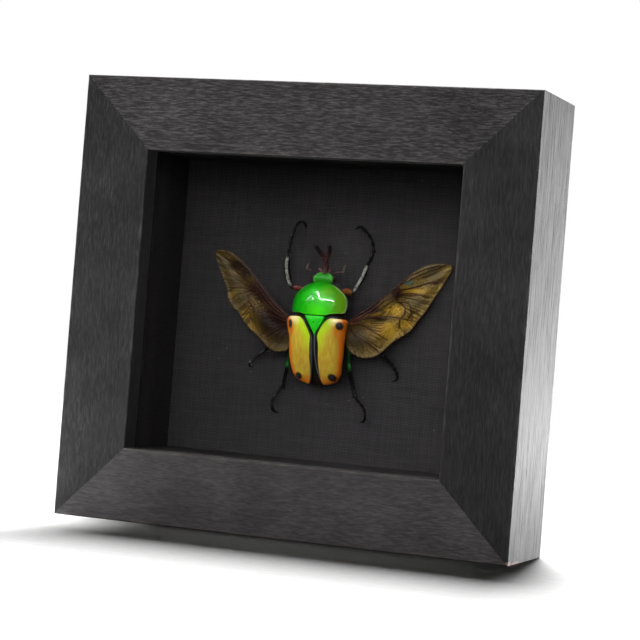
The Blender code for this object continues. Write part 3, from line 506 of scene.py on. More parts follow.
# %% [markdown]
# The strips are cut from thick board that is dyed black all through, so even their edges are nearly
# lightless. They are cut sheets, so they keep their solids. The dye takes unevenly along the fibres
# of the pulp, and a noise that is stretched along the box's depth gives that tone and a low relief.

# %% Black spacer strips: dyed pulp board
mat, tree, shader = finish("black_pulp_board", {"Roughness": 0.85, "Specular IOR Level": 0.3})
fibre = grained(tree, (0.6, 3.0, 0.6), 4.0)
surfaced(tree, shader, fibre, [(0.3, "1C191A"), (0.75, "2A2627")], relief=(0.4, 0.05))
dress(["top_spacer", "bottom_spacer", "left_spacer", "right_spacer"], mat)

# %% [markdown]
# The back is hardboard, wood fibre pressed hot into a dense brown sheet. Its face is flecked with
# darker and paler fibres and is rough to the touch. A picture of it would stretch at the edges, so a
# noise with many octaves, a millimetre and a half wide as the flecks are, is laid through the sheet.

# %% Hardboard back
mat, tree, shader = finish("pressed_hardboard", {"Roughness": 0.8, "Specular IOR Level": 0.3})
fibre = grained(tree, (1.6, 1.6, 0.7), 6.0, 0.7)
surfaced(tree, shader, fibre, [(0.3, "3F2A1C"), (0.5, "6B4C34"), (0.72, "8A6A4C")], relief=(0.6, 0.15))
dress(["back_panel"], mat)

# %% [markdown]
# The points, the hanger and its nails are zinc-plated steel. Bright zinc is a metal with a faint
# spangle: crystals about a millimetre wide that catch the light differently, under fine rubs.

# %% Zinc-plated steel
SPANGLE_SIZE = 1.3
mat, tree, shader = finish("zinc_plated_steel", {"Metallic": 1.0})
where = add(tree, "ShaderNodeTexCoord").outputs["Object"]
spangle = add(tree, "ShaderNodeTexVoronoi", {"Vector": where, "Scale": 1 / (SPANGLE_SIZE * MM)})
surfaced(tree, shader, spangle.outputs["Color"], [(0.1, "808285"), (0.9, "A4A6A8")])
surfaced(tree, shader, grained(tree, (3.0, 0.4, 0.3), 4.0), gloss=(0.38, 0.62))
dress([n for n in frame["nodes"] if n.endswith("_point") or "hanger" in n], mat)

# %% [markdown]
# ## The beetle
# A male flower beetle, set with its wings spread. Every place on it is given in millimetres from the
# pin: u sideways, v towards the head and h above the board. Outlines are short tables of real sizes,
# and a smooth curve through them gives any place between, the same curve that the solids follow.

# %% Beetle coordinates and curves
pin_low, pin_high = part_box("pin")
PIN_X, PIN_Z = (pin_low[0] + pin_high[0]) / 2, (pin_low[2] + pin_high[2]) / 2
BOARD_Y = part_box("mount_board")[0][1]
SIGNS = {"left": -1, "right": 1}


def at(places):
    """World points, in metres, of beetle places (u, v, h) in mm."""
    p = np.asarray(places, float)
    return np.stack([PIN_X + p[..., 0] * MM, BOARD_Y - p[..., 2] * MM, PIN_Z + p[..., 1] * MM], axis=-1)


def smooth_line(points, steps=8):
    """Points along a smooth curve through the given points, some steps to each span."""
    pts = [np.array(p, float) for p in points]
    pts = [2 * pts[0] - pts[1], *pts, 2 * pts[-1] - pts[-2]]
    line = []
    for a, b, c, d in zip(pts, pts[1:], pts[2:], pts[3:]):
        for k in range(steps):
            t = k / steps
            line.append(0.5 * (2 * b + (c - a) * t + (2 * a - 5 * b + 4 * c - d) * t ** 2
                               + (3 * b - a - 3 * c + d) * t ** 3))
    line.append(pts[-2])
    return np.array(line)


def along(line, count):
    """The line's points read again at even distances, ends included."""
    run = np.concatenate([[0.0], np.cumsum(np.linalg.norm(np.diff(line, axis=0), axis=1))])
    places = np.linspace(0.0, run[-1], count)
    return np.stack([np.interp(places, run, line[:, k]) for k in range(line.shape[1])], axis=1)


def profile(table):
    """A smooth size along the body, from pairs of place and size."""
    line = smooth_line(table)
    line = line[np.argsort(line[:, 0])]
    return lambda v: np.interp(v, line[:, 0], line[:, 1])


def soft_step(x, low, high):
    """0 below low, 1 above high, and a smooth slope between."""
    t = np.clip((np.asarray(x, float) - low) / (high - low), 0.0, 1.0)
    return t * t * (3 - 2 * t)


def hump(x, centre, width):
    """1 at the centre, fading to nothing some widths away, as a bell curve does."""
    return np.exp(-((x - centre) / width) ** 2)


def blob(u, v, centre, radii):
    """A hump in two directions at once."""
    return np.exp(-((u - centre[0]) / radii[0]) ** 2 - ((v - centre[1]) / radii[1]) ** 2)


def spot(u, v, centre, radii):
    """How near places are to a centre: 1 there, and 0 from the given radii on."""
    gap = np.hypot((u - centre[0]) / radii[0], (v - centre[1]) / radii[1])
    return 1.0 - soft_step(gap, 0.75, 1.15)


def ripple(places, sizes, seed):
    """Noise from -1 to 1 at places, with spots of these sizes along each axis."""
    scaled = np.asarray(places, float) / np.asarray(sizes, float) + seed * 7.31
    flat = scaled.reshape(-1, scaled.shape[-1])
    if flat.shape[1] == 2:
        flat = np.concatenate([flat, np.full((len(flat), 1), seed)], axis=1)
    return np.array([noise.noise(Vector(p)) for p in flat]).reshape(scaled.shape[:-1])


# %% [markdown]
# The shell's plates are thin domed sheets. Two helpers make them closed: one joins a top grid to a
# bottom grid round their edge, and one does the same for rings that close in to a middle point. The
# rim of each plate is turned down in a small round, so that it catches a line of light.

# %% Thin closed plates
def sheet(top, bottom):
    """Points and faces of a thin closed plate between two grids of places."""
    rows, columns = top.shape[:2]
    points = np.concatenate([top.reshape(-1, 3), bottom.reshape(-1, 3)])
    index = np.arange(rows * columns).reshape(rows, columns)
    quads = np.stack([index[:-1, :-1], index[:-1, 1:], index[1:, 1:], index[1:, :-1]], axis=-1)
    quads = quads.reshape(-1, 4)
    faces = [tuple(q) for q in quads] + [tuple(q[::-1] + rows * columns) for q in quads]
    edge = [*index[0], *index[1:, -1], *index[-1, -2::-1], *index[-2:0:-1, 0]]
    for a, b in zip(edge, edge[1:] + edge[:1]):
        faces.append((a, b, b + rows * columns, a + rows * columns))
    return points, faces


def disc(outline, centre, shares, height, thickness):
    """A closed plate from an outline that closes in on a centre; also each point's share."""
    points, share_of, faces = [], [], []
    sides = len(outline)
    for drop in (0.0, thickness):
        start = len(points)
        for share in shares:
            uv = centre + (outline - centre) * share
            h = height(uv[:, 0], uv[:, 1], share) - drop
            points += [tuple(p) for p in np.column_stack([uv, h])]
            share_of += [share] * sides
        points.append((*centre, float(height(centre[0], centre[1], 0.0)) - drop))
        share_of.append(0.0)
        pole = len(points) - 1
        for i in range(len(shares)):
            for k in range(sides):
                a, b = start + i * sides + k, start + i * sides + (k + 1) % sides
                faces.append((a, b, pole) if i == len(shares) - 1 else (a, b, b + sides, a + sides))
    below = sides * len(shares) + 1
    faces += [(k, (k + 1) % sides, below + (k + 1) % sides, below + k) for k in range(sides)]
    return np.array(points), faces, np.array(share_of)


def turned_rim(distance, radius):
    """How far a plate's top falls near its edge, as a quarter round."""
    inside = np.clip(1.0 - np.asarray(distance) / radius, 0.0, 1.0)
    return radius * (1.0 - np.sqrt(1.0 - inside ** 2))


# %% [markdown]
# ## Wing covers
# The two hard wing covers are one arched back, cut along the middle. They are gold, limed with green
# near the little triangle, burnt orange along the outer edge and at the tips, with a black seam along
# the middle and four black spots. A low knob carries each shoulder spot and each tip spot. A painted
# highlight lies pale on the front of each shoulder, and painted grey glints lie along the seam and on
# the spots. The form is a grid, and the colours are masks on its points, because they follow the
# plate's own edges.

# %% Wing covers: form
ELYTRON_OUTER = [(1.4, 8.6), (0.9, 9.15), (0, 9.3), (-2, 9.05), (-5, 8.7), (-8, 8.6), (-11, 8.35),
                 (-14.5, 7.8), (-16.2, 7.1), (-17.4, 5.9), (-18.1, 4.3), (-18.4, 3.0)]
ELYTRON_INNER = [(1.4, 4.7), (1.0, 3.95), (0.4, 3.25), (-0.6, 2.4), (-2, 1.4), (-3.6, 0.45),
                 (-4.6, 0.18), (-8, 0.2), (-11, 0.36), (-14, 0.75), (-16.6, 1.3), (-18.4, 2.1)]
ELYTRON_MARGIN = [(2, 6.4), (-10, 6.2), (-14.5, 5.0), (-18.4, 3.5)]
ELYTRON_TOP, ELYTRON_FALL, ELYTRON_SPREAD = 10.8, 0.0175, 1.02
ELYTRON_THICKNESS, ELYTRON_RIM = 0.5, 0.28
ELYTRON_ROWS, ELYTRON_COLUMNS = 110, 64
LEFT_SHOULDER = 0.85
DOME_POWER = 2.4
SHOULDER_SPOTS = {"left": ((-8.1, -1.0), (1.0, 1.35)), "right": ((7.6, -0.7), (1.1, 1.25))}
TIP_SPOTS = {"left": ((-5.3, -16.2), (1.15, 1.1)), "right": ((5.3, -16.0), (1.35, 1.2))}
KNOBS = ((SHOULDER_SPOTS, 0.35, 1.9), (TIP_SPOTS, 0.3, 1.3))  # under which spots, height, width squared
RIB_PLACES, RIB_HEIGHT, RIB_WIDTH = (0.3, 0.52, 0.74), 0.035, 0.035
SEAM_WIDTH = [(1.4, 0.25), (0.4, 0.32), (-1, 0.45), (-3, 0.62), (-6.7, 0.95), (-11, 0.95), (-14, 0.75),
              (-16.5, 0.45), (-18.4, 0.2)]
elytron_outer, elytron_inner = profile(ELYTRON_OUTER), profile(ELYTRON_INNER)
elytron_margin, seam_width = profile(ELYTRON_MARGIN), profile(SEAM_WIDTH)


def elytra_height(u, v):
    """Height of the arched back above the board, over the wing covers."""
    ridge = ELYTRON_TOP - ELYTRON_FALL * np.minimum(v, 0.0) ** 2
    edge = elytron_margin(v)
    share = np.minimum(np.abs(u) / (ELYTRON_SPREAD * elytron_outer(v)), 1.0)
    return edge + (ridge - edge) * np.sqrt(1.0 - share ** DOME_POWER)


def wing_cover(side):
    """Points, faces and colour masks of one wing cover."""
    sign = SIGNS[side]
    front, rear = ELYTRON_OUTER[0][0], ELYTRON_OUTER[-1][0]
    row = np.linspace(0, 1, ELYTRON_ROWS)[:, None]
    v = front + (rear - front) * np.sin(math.pi / 2 * row) ** 0.95
    share = 0.5 - 0.5 * np.cos(math.pi * np.linspace(0, 1, ELYTRON_COLUMNS))[None, :]
    inner, outer = elytron_inner(v), elytron_outer(v)
    if side == "left":
        outer = outer + LEFT_SHOULDER * hump(v, -1.0, 4.5)
    u = sign * (inner + (outer - inner) * share)
    v = np.broadcast_to(v, u.shape)
    from_seam, from_side = np.abs(u) - inner, outer - np.abs(u)
    from_end = np.minimum(front - v, v - rear) * 0.9
    from_edge = np.minimum(np.minimum(from_seam, from_side), from_end)
    h = elytra_height(u, v) - turned_rim(from_edge, ELYTRON_RIM)
    for spots, height, spread in KNOBS:
        (cu, cv), _ = spots[side]
        h = h + height * np.exp(-((u - cu) ** 2 + (v - cv) ** 2) / spread)
    h = h + 0.1 * hump(from_seam, 0.55, 0.3) + 0.08 * hump(from_side, 0.6, 0.3)
    for place in RIB_PLACES:
        h = h + RIB_HEIGHT * hump(share, place, RIB_WIDTH) * soft_step(-v, 2.0, 6.0)
    h = h + 0.03 * ripple(np.stack([u, v], axis=-1), (0.9, 2.6), 3.0 + sign)
    top = np.stack([u, v, h], axis=-1)
    floor_h = np.minimum(elytra_height(u, v) - ELYTRON_THICKNESS, h - 0.2)
    points, faces = sheet(top, np.stack([u, v, floor_h], axis=-1))
    lean = 0.5 * hump(v, -6.5, 4.0) if side == "right" else -0.5 * soft_step(-v, 10.0, 16.0)
    width = np.maximum(seam_width(v) + lean, 0.15)
    seam = 1.0 - soft_step(from_seam - width, -0.1, 0.12)
    spots = (SHOULDER_SPOTS[side], TIP_SPOTS[side])
    black = np.max([seam, *(spot(u, v, *place) for place in spots)], axis=0)
    orange_width = 1.5 + 0.5 * ripple(np.stack([u, v], axis=-1), (3, 4), 5.0)
    orange = 1.0 - soft_step(from_side, orange_width * 0.45, orange_width * 1.15)
    orange = np.maximum(orange, soft_step(-v, 15.0, 17.8) * 0.85)
    (su, sv), _ = SHOULDER_SPOTS[side]
    orange = np.maximum(orange, 0.7 * spot(u, v, (su + sign * 0.3, sv - 1.2), (1.9, 3.0)))
    lime = hump(from_seam, 1.3, 2.1) * soft_step(v, -11.5, -2.0)
    # Painted light: a pale highlight on the front of each shoulder, and grey glints along the seam and on the
    # centre of each spot.
    pale = soft_step(v, -1.6, 1.0) * soft_step(np.abs(u), 3.8, 6.0) * 0.85
    steel = hump(from_seam, 0.28, 0.22) * soft_step(-v, 3.0, 4.5) * soft_step(v, -17.5, -15)
    for (cu, cv), (ru, rv) in spots:
        steel = np.maximum(steel, 0.35 * blob(u, v, (cu, cv + 0.2), (0.4 * ru, 0.4 * rv)))
    masks = {"orange": orange, "lime": lime, "pale": pale, "black": black, "steel": steel * 0.8}
    return at(points), faces, {k: np.tile(m.ravel(), 2) for k, m in masks.items()}


# %% [markdown]
# The cover is chitin, a hard glossy polymer of the insect's own, coloured in the layer under a clear
# skin. So the colours go on a fairly smooth base, and a clear coat gives the sharp glints. Streaks
# along the cover and fine pits break up the gold. A painted highlight on the shoulders and painted
# grey glints along the seam and on the spots lie over the colours.

# %% Wing covers: gold chitin
mat, tree, shader = finish("gold_chitin", {"Specular IOR Level": 0.4, "Coat Weight": 0.55,
                                           "Coat Roughness": 0.12, "Coat IOR": 1.5})
streak = grained(tree, (0.8, 0.8, 7.0), 3.0, 0.6)
surfaced(tree, shader, streak, [(0.3, "B0862C"), (0.5, "BE9A30"), (0.72, "C8AE40")],
         [("lime", "ACD20C"), ("pale", "F6DCA4"), ("orange", "CC660C"), ("black", "111114"),
          ("steel", "5A5D61")])
surfaced(tree, shader, grained(tree, 0.22, 2.0), gloss=(0.3, 0.45), relief=(0.35, 0.03))
for side in SIGNS:
    points, faces, masks = wing_cover(side)
    finished(side + "_wing_cover", points, faces, [mat], [side + "_elytron"], masks)

# %% [markdown]
# ## The green shield and the little triangle
# Behind the head lies the pronotum, a domed shield with a thin raised rim. Behind that, between the
# wing covers, lies the scutellum, a flat triangle that the pin goes through. Both are closed plates
# made of rings. Their green is a structural colour: thin layers in the shell reflect it like a metal,
# and it turns yellower or bluer with the angle of the surface. A slightly metallic base with a hard
# coat gives that look. Masks across the shield paint light and shade into its green: painted shade on
# the left side and along the front, a painted highlight at the middle of the rear, a painted yellower
# reflection on the right, and a paler rim that is partly a painted highlight along its bead.

# %% Shield
PRONOTUM_RIGHT = [(0, 12.1), (3.2, 11.6), (5.9, 10.1), (7.9, 7.9), (8.5, 5.6), (8.3, 3.6), (7.6, 3.0),
                  (6.2, 2.85), (4.4, 2.5), (3.3, 2.1), (0, 2.05)]
PRONOTUM_LEFT = [(-3.0, 11.4), (-5.5, 9.8), (-7.7, 7.7), (-8.9, 5.4), (-8.6, 3.0), (-7.9, 2.55), (-6.2, 2.5),
                 (-4.4, 2.4), (-3.3, 2.1)]
PRONOTUM_CENTRE = np.array((0.0, 5.6))
PRONOTUM_THICKNESS, PRONOTUM_RIM, PRONOTUM_SIDES = 0.55, 0.3, 200
PRONOTUM_CREST, PRONOTUM_HALF_WIDTH, PRONOTUM_LENGTH = 3.5, 8.95, 9.2
PRONOTUM_BASE, PRONOTUM_RISE = 5.2, 5.6


def pronotum_height(u, v):
    """Height above the board of the domed shield behind the head."""
    across = (np.abs(u) / PRONOTUM_HALF_WIDTH) ** DOME_POWER
    ahead = (np.maximum(v - PRONOTUM_CREST, 0.0) / PRONOTUM_LENGTH) ** 2.2
    return PRONOTUM_BASE + PRONOTUM_RISE * np.sqrt(np.maximum(1.0 - across - ahead, 0.0))


def shield_height(u, v, share):
    """The dome with its bead along the rim and the round of its edge."""
    from_rim = (1.0 - share) * 8.0
    bead = 0.16 * hump(from_rim, 0.3, 0.18) * soft_step(np.abs(u), 2.5, 5.0)
    return pronotum_height(u, v) + bead - turned_rim(from_rim, PRONOTUM_RIM)


outline = PRONOTUM_RIGHT + PRONOTUM_LEFT[::-1]
outline = along(smooth_line(outline + outline[:1]), PRONOTUM_SIDES + 1)[:-1]
shares = 1.0 - np.linspace(0, 1, 56)[:-1] ** 1.35
points, shield_faces, share = disc(outline, PRONOTUM_CENTRE, shares, shield_height, PRONOTUM_THICKNESS)
u, v = points[:, 0], points[:, 1]
# These masks paint light and shade: shade on the left side and along the front, a yellower reflection on the
# right, a highlight at the middle of the rear, and a paler rim that is partly a highlight along the bead.
shield_masks = {
    "rim": 0.8 * soft_step(share, 0.968, 0.98) * soft_step(np.abs(u), 3.0, 6.0) * soft_step(v, 1.0, 3.0),
    "deep": 1.0 - soft_step(u, -9.0, -2.5),
    "olive": np.maximum(0.9 * soft_step(u, 2.5, 8.0), 0.6 * blob(u, v, (3.4, 9.0), (2.4, 1.8))),
    "bright": blob(u, v, (1.0, 3.2), (3.2, 2.2)),
    "shade": soft_step(share, 0.62, 0.97) * soft_step(v, 5.5, 10.0) * 0.8,
}

mat, tree, shader = finish("green_shield_chitin", {
    "Metallic": 0.1, "Coat Weight": 1.0, "Coat Roughness": 0.03, "Coat IOR": 1.9, "Specular IOR Level": 0.3})
surfaced(tree, shader, grained(tree, 2.5, 2.0), [(0.3, "0A9C00"), (0.7, "14B800")],
         [("deep", "088210"), ("shade", "0E7408"), ("olive", "6A9C02"), ("bright", "42DC00"),
          ("rim", "C4EC90")], gloss=(0.28, 0.4))
finished("green_shield", at(points), shield_faces, [mat], ["pronotum"], shield_masks)

# %% [markdown]
# ## Body
# Under its covers the beetle is a dark, glossy barrel. The belly is ringed by the plates of the
# abdomen. Little of it shows: the dark tip between the wing covers, and the flanks. It is a loft of
# rings, with a shallow groove between each two plates, and carries the green triangle on its back.

# %% Body and triangle
BODY_HALF_WIDTH = [(11.2, 2.2), (10.4, 3.8), (9, 5.4), (7, 6.7), (4.5, 7.4), (2, 7.6), (0, 8.1),
                   (-4, 7.9), (-9, 7.6), (-13, 7.0), (-15.6, 6.0), (-17.4, 4.4), (-18.7, 1.8)]
BODY_MIDDLE = [(11.2, 5.2), (2, 5.2), (-5, 5.0), (-12, 4.4), (-16, 3.6), (-18.7, 3.2)]
BODY_BELLY = [(11.2, 4.2), (9, 2.8), (5, 1.8), (0, 1.5), (-12, 1.7), (-16, 2.1), (-18.7, 2.7)]
COVER_CLEARANCE, COVER_SEAM = 1.0, 1.7
BODY_ROWS, BODY_SIDES = 120, 96
BELLY_PLATE, BELLY_GROOVE = 2.3, 0.14
body_half_width, body_middle = profile(BODY_HALF_WIDTH), profile(BODY_MIDDLE)
body_belly = profile(BODY_BELLY)

front, rear = BODY_HALF_WIDTH[0][0], BODY_HALF_WIDTH[-1][0]
v = (front + (rear - front) * (0.5 - 0.5 * np.cos(math.pi * np.linspace(0.02, 0.985, BODY_ROWS))))[:, None]
angle = (2 * math.pi * np.arange(BODY_SIDES) / BODY_SIDES)[None, :]
u, rise = body_half_width(v) * np.cos(angle), np.sin(angle) * np.ones_like(v)
under_shield = soft_step(v, COVER_SEAM - 0.6, COVER_SEAM + 0.6)
ceiling = pronotum_height(u, v) * under_shield + elytra_height(u, v) * (1 - under_shield) - COVER_CLEARANCE
groove = BELLY_GROOVE * hump((v + 3.0) % BELLY_PLATE, BELLY_PLATE / 2, 0.22) * (v < -2.5)
belly = body_belly(v) + groove
h = np.where(rise >= 0, body_middle(v) + (ceiling - body_middle(v)) * np.abs(rise) ** 0.5,
             body_middle(v) - (body_middle(v) - belly) * np.abs(rise) ** 0.7)
body_points = np.stack([u, v * np.ones_like(u), h], axis=-1).reshape(-1, 3)
body_faces = tube_faces(BODY_ROWS, BODY_SIDES)

SCUTELLUM_OUTLINE = [(-3.0, 1.75), (-1.0, 1.8), (1.2, 1.8), (3.4, 1.75), (2.75, 0.4), (2.0, -0.9),
                     (1.15, -2.3), (0.35, -3.8), (-0.45, -2.3), (-1.35, -0.9), (-2.2, 0.4)]
SCUTELLUM_CENTRE = np.array((0.0, 0.3))
SCUTELLUM_TOP, SCUTELLUM_DEPTH, SCUTELLUM_STEPS = 10.75, 1.6, 8


def triangle_height(u, v, share):
    """A nearly flat plate with a round edge."""
    return SCUTELLUM_TOP + 0.12 * (1 - share ** 2) - turned_rim((1.0 - share) * 1.6, 0.16) + 0 * u


outline = []
for a, b in zip(SCUTELLUM_OUTLINE, SCUTELLUM_OUTLINE[1:] + SCUTELLUM_OUTLINE[:1]):
    outline += [np.array(a) + (np.array(b) - np.array(a)) * k / SCUTELLUM_STEPS
                for k in range(SCUTELLUM_STEPS)]
shares = 1.0 - np.linspace(0, 1, 22)[:-1] ** 1.3
plate, plate_faces, _ = disc(np.array(outline), SCUTELLUM_CENTRE, shares, triangle_height, SCUTELLUM_DEPTH)

dark, tree, shader = finish("dark_body_chitin", {"Coat Weight": 0.6, "Coat Roughness": 0.15,
                                                 "Specular IOR Level": 0.4})
surfaced(tree, shader, grained(tree, 1.2, 4.0), [(0.3, "0E0B0A"), (0.7, "241812")], gloss=(0.25, 0.5))
vivid, tree, shader = finish("green_triangle_chitin", {"Metallic": 0.2, "Coat Weight": 0.7,
                                                       "Coat Roughness": 0.08, "Coat IOR": 1.5})
surfaced(tree, shader, grained(tree, 0.35, 2.0), [(0.35, "0AB400"), (0.7, "12CE02")], gloss=(0.32, 0.42))
faces = body_faces + [tuple(k + len(body_points) for k in face) for face in plate_faces]
finished("body_and_triangle", at(np.concatenate([body_points, plate])), faces, [dark, vivid], ["body"],
         None, [0] * len(body_faces) + [1] * len(plate_faces), sharp=60)

# %% [markdown]
# ## Head and legs
# These are limbs of many joints that swell and narrow. Each joint is made as its own round-ended
# limb, and a voxel remesh melts those that overlap into one skin, as the real parts meet in soft
# joints. The remesh is done in millimetres, because its smallest voxel is a tenth of a unit.

# %% Limbs, melted together
LIMB_SIDES = 20
CAP_DEGREES = [80, 55, 28]
LINE_READS = 40


def limb(points, flat=1.0, steps=6):
    """A smooth limb through (u, v, h, radius) points, with round ends; flat thins it in height."""
    line = smooth_line(points, steps)
    centres, radii = line[:, :3], np.maximum(line[:, 3], 0.03)
    first, last = centres[0] - centres[1], centres[-1] - centres[-2]
    first, last = first / np.linalg.norm(first), last / np.linalg.norm(last)
    tilt = np.radians(CAP_DEGREES)
    head_c = [centres[0] + first * radii[0] * math.sin(a) for a in tilt]
    tail_c = [centres[-1] + last * radii[-1] * math.sin(a) for a in tilt[::-1]]
    centres = np.array([*head_c, *centres, *tail_c])
    radii = np.array([*(radii[0] * np.cos(tilt)), *radii, *(radii[-1] * np.cos(tilt[::-1]))])
    ahead = np.gradient(centres, axis=0)
    ahead /= np.linalg.norm(ahead, axis=1)[:, None]
    side = np.cross(ahead, (0.0, 0.0, 1.0))
    side /= np.linalg.norm(side, axis=1)[:, None]
    rise = np.cross(side, ahead)
    turns = (2 * math.pi * np.arange(LIMB_SIDES) / LIMB_SIDES)[None, :, None]
    ring = side[:, None] * np.cos(turns) + rise[:, None] * flat * np.sin(turns)
    skin = centres[:, None] + radii[:, None, None] * ring
    return skin.reshape(-1, 3), tube_faces(len(centres), LIMB_SIDES)


def evaluated(obj):
    """A plain mesh of what an object's modifiers make."""
    return bpy.data.meshes.new_from_object(obj.evaluated_get(bpy.context.evaluated_depsgraph_get()))


def melted(parts, voxel, rounds):
    """Overlapping closed shapes in mm as one skin, smoothed a little."""
    points, faces = [], []
    for skin, skin_faces in parts:
        faces += [tuple(k + len(points) for k in face) for face in skin_faces]
        points += [tuple(p) for p in skin]
    mesh = meshed("melt", points, [], faces)
    turned_out(mesh)
    obj = placed("melt", mesh)
    remesh = obj.modifiers.new("remesh", "REMESH")
    remesh.mode, remesh.voxel_size = "VOXEL", voxel
    soften = obj.modifiers.new("soften", "SMOOTH")
    soften.factor, soften.iterations = 0.5, rounds
    skin = evaluated(obj)
    bpy.data.objects.remove(obj)
    points = np.array([tuple(v.co) for v in skin.vertices])
    return points, [tuple(p.vertices) for p in skin.polygons]


def nearness(points, line):
    """Each point's distance to a line, and how far along the line that is, from 0 to 1."""
    fine = along(smooth_line([p[:3] for p in line], 6), LINE_READS)
    gaps = np.linalg.norm(points[:, None] - fine[None], axis=2)
    return gaps.min(axis=1), gaps.argmin(axis=1) / (LINE_READS - 1)


# %% [markdown]
# The head is green in the middle with a paler rim. From its front rises a maroon horn that forks in
# two, between two short red-brown lobes. The eyes are dark, and each antenna ends in a club of three
# leaves, folded together.

# %% Head
HEAD_HALF_WIDTH = [(11.5, 2.2), (12.2, 3.0), (12.9, 3.25), (13.6, 2.95), (14.3, 2.5), (15.05, 2.2)]
HEAD_TOP = [(11.5, 6.0), (12.3, 6.4), (13.2, 6.5), (14.2, 6.15), (15.05, 5.6)]
HEAD_BOTTOM = [(11.5, 4.5), (12.6, 4.0), (14.2, 4.1), (15.05, 4.5)]
HEAD_BACK, HEAD_ROUND, HEAD_FRONT = 11.5, 13.5, 15.05
HEAD_ROWS, HEAD_SIDES = 36, 40
HORN_STEM = [(0.25, 14.4, 5.0, 0.9), (0.3, 16.2, 4.9, 0.8), (0.28, 17.9, 5.2, 0.68), (0.26, 19.3, 5.8, 0.8)]
HORN_PRONGS = [
    [(0.2, 18.9, 5.6, 0.7), (-1.0, 20.3, 6.4, 0.7), (-1.75, 21.4, 7.0, 0.62), (-2.3, 22.2, 7.5, 0.66)],
    [(0.35, 18.9, 5.6, 0.7), (1.45, 20.6, 6.4, 0.7), (1.7, 21.7, 7.0, 0.62), (1.85, 22.5, 7.5, 0.64)]]
MOUTH_LOBES = [[(s * 0.9, 14.3, 4.8, 0.55), (s * 1.5, 15.5, 4.8, 0.52), (s * 1.75, 15.9, 4.7, 0.34)]
               for s in (-1, 1)]
ANTENNA_STALKS = [[(-2.3, 14.5, 4.9, 0.22), (-4.0, 15.2, 4.9, 0.14), (-5.9, 15.8, 5.0, 0.18)],
                  [(2.3, 14.5, 4.9, 0.22), (4.0, 15.2, 4.9, 0.14), (6.0, 15.4, 5.0, 0.18)]]
ANTENNA_CLUBS = [[(-5.8, 15.6, 5.0, 0.22), (-5.6, 16.3, 5.0, 0.34), (-5.25, 17.1, 5.0, 0.26)],
                 [(5.9, 15.2, 5.0, 0.22), (6.05, 16.3, 5.0, 0.34), (6.35, 17.3, 5.0, 0.26)]]
CLUB_LEAVES = (-0.26, 0.0, 0.26)
EYE_PLACE, EYE_RADIUS = (2.95, 12.9, 5.0), 0.72
HEAD_VOXEL = 0.08
head_half_width, head_top = profile(HEAD_HALF_WIDTH), profile(HEAD_TOP)
head_bottom = profile(HEAD_BOTTOM)

v = (HEAD_FRONT - (HEAD_FRONT - HEAD_BACK) * np.linspace(1, 0, HEAD_ROWS) ** 1.5)[:, None]
rounded = np.sqrt(1.02 - np.clip((v - HEAD_ROUND) / (HEAD_FRONT - HEAD_ROUND), 0, 1) ** 2.5)
turns = (2 * math.pi * np.arange(HEAD_SIDES) / HEAD_SIDES)[None, :]
across = np.sign(np.cos(turns)) * np.abs(np.cos(turns)) ** 0.8
low, high = head_bottom(v), head_top(v)
u = head_half_width(v) * rounded * across
h = (low + high) / 2 + (high - low) / 2 * rounded * np.sin(turns)
h = h + np.where(np.sin(turns) > 0, 0.28 * soft_step(np.abs(across), 0.45, 0.85) - 0.12, 0.0)
head_shell = np.stack([u, v * np.ones_like(u), h], axis=-1).reshape(-1, 3)
parts = [(head_shell, tube_faces(HEAD_ROWS, HEAD_SIDES))]
parts += [limb(route) for route in [HORN_STEM, *HORN_PRONGS, *MOUTH_LOBES, *ANTENNA_STALKS]]
for route in ANTENNA_CLUBS:
    parts += [limb([(a + lift * 0.5, b, c + lift, r) for a, b, c, r in route], 0.4) for lift in CLUB_LEAVES]
for sign in (-1, 1):
    eu, ev, eh = EYE_PLACE
    parts.append(limb([(sign * eu, ev - 0.3, eh, EYE_RADIUS), (sign * eu, ev + 0.3, eh, EYE_RADIUS)]))
points, faces = melted(parts, HEAD_VOXEL, 2)
u, v, h = points.T
stem_gap, _ = nearness(points, HORN_STEM)
eye_gap = np.linalg.norm(np.stack([np.abs(u), v, h], axis=1) - EYE_PLACE, axis=1)
on_horn = soft_step(0.95 - stem_gap, -0.1, 0.1) * soft_step(v, 14.0, 14.4)
on_head = (1.0 - soft_step(v, 14.75, 15.0)) * (1.0 - on_horn)
masks = {
    "green": on_head * soft_step(h, 4.9, 5.4) * (1.0 - soft_step(np.abs(u) - head_half_width(v), -0.1, 0.25)),
    "rim": on_head * soft_step(h, 5.2, 5.6) * soft_step(np.abs(u) / head_half_width(v), 0.62, 0.85),
    "eye": 1.0 - soft_step(eye_gap, 0.82, 1.0),
    "club": soft_step(np.abs(u), 4.9, 5.3),
    "tip": soft_step(v, 18.8, 21.2),
}
mat, tree, shader = finish("horned_head_chitin", {"Coat Weight": 0.05, "Coat Roughness": 0.25,
                                                  "Coat IOR": 1.5, "Specular IOR Level": 0.22})
surfaced(tree, shader, grained(tree, 0.9), [(0.32, "1C0C0F"), (0.5, "3C1A1C"), (0.68, "7C4C48")],
         [("tip", "18080D"), ("green", "1A7C0E"), ("rim", "44983A"), ("eye", "2E1010"), ("club", "4E463C")],
         gloss=(0.35, 0.6))
finished("horned_head", at(points), faces, [mat], ["head"], masks)
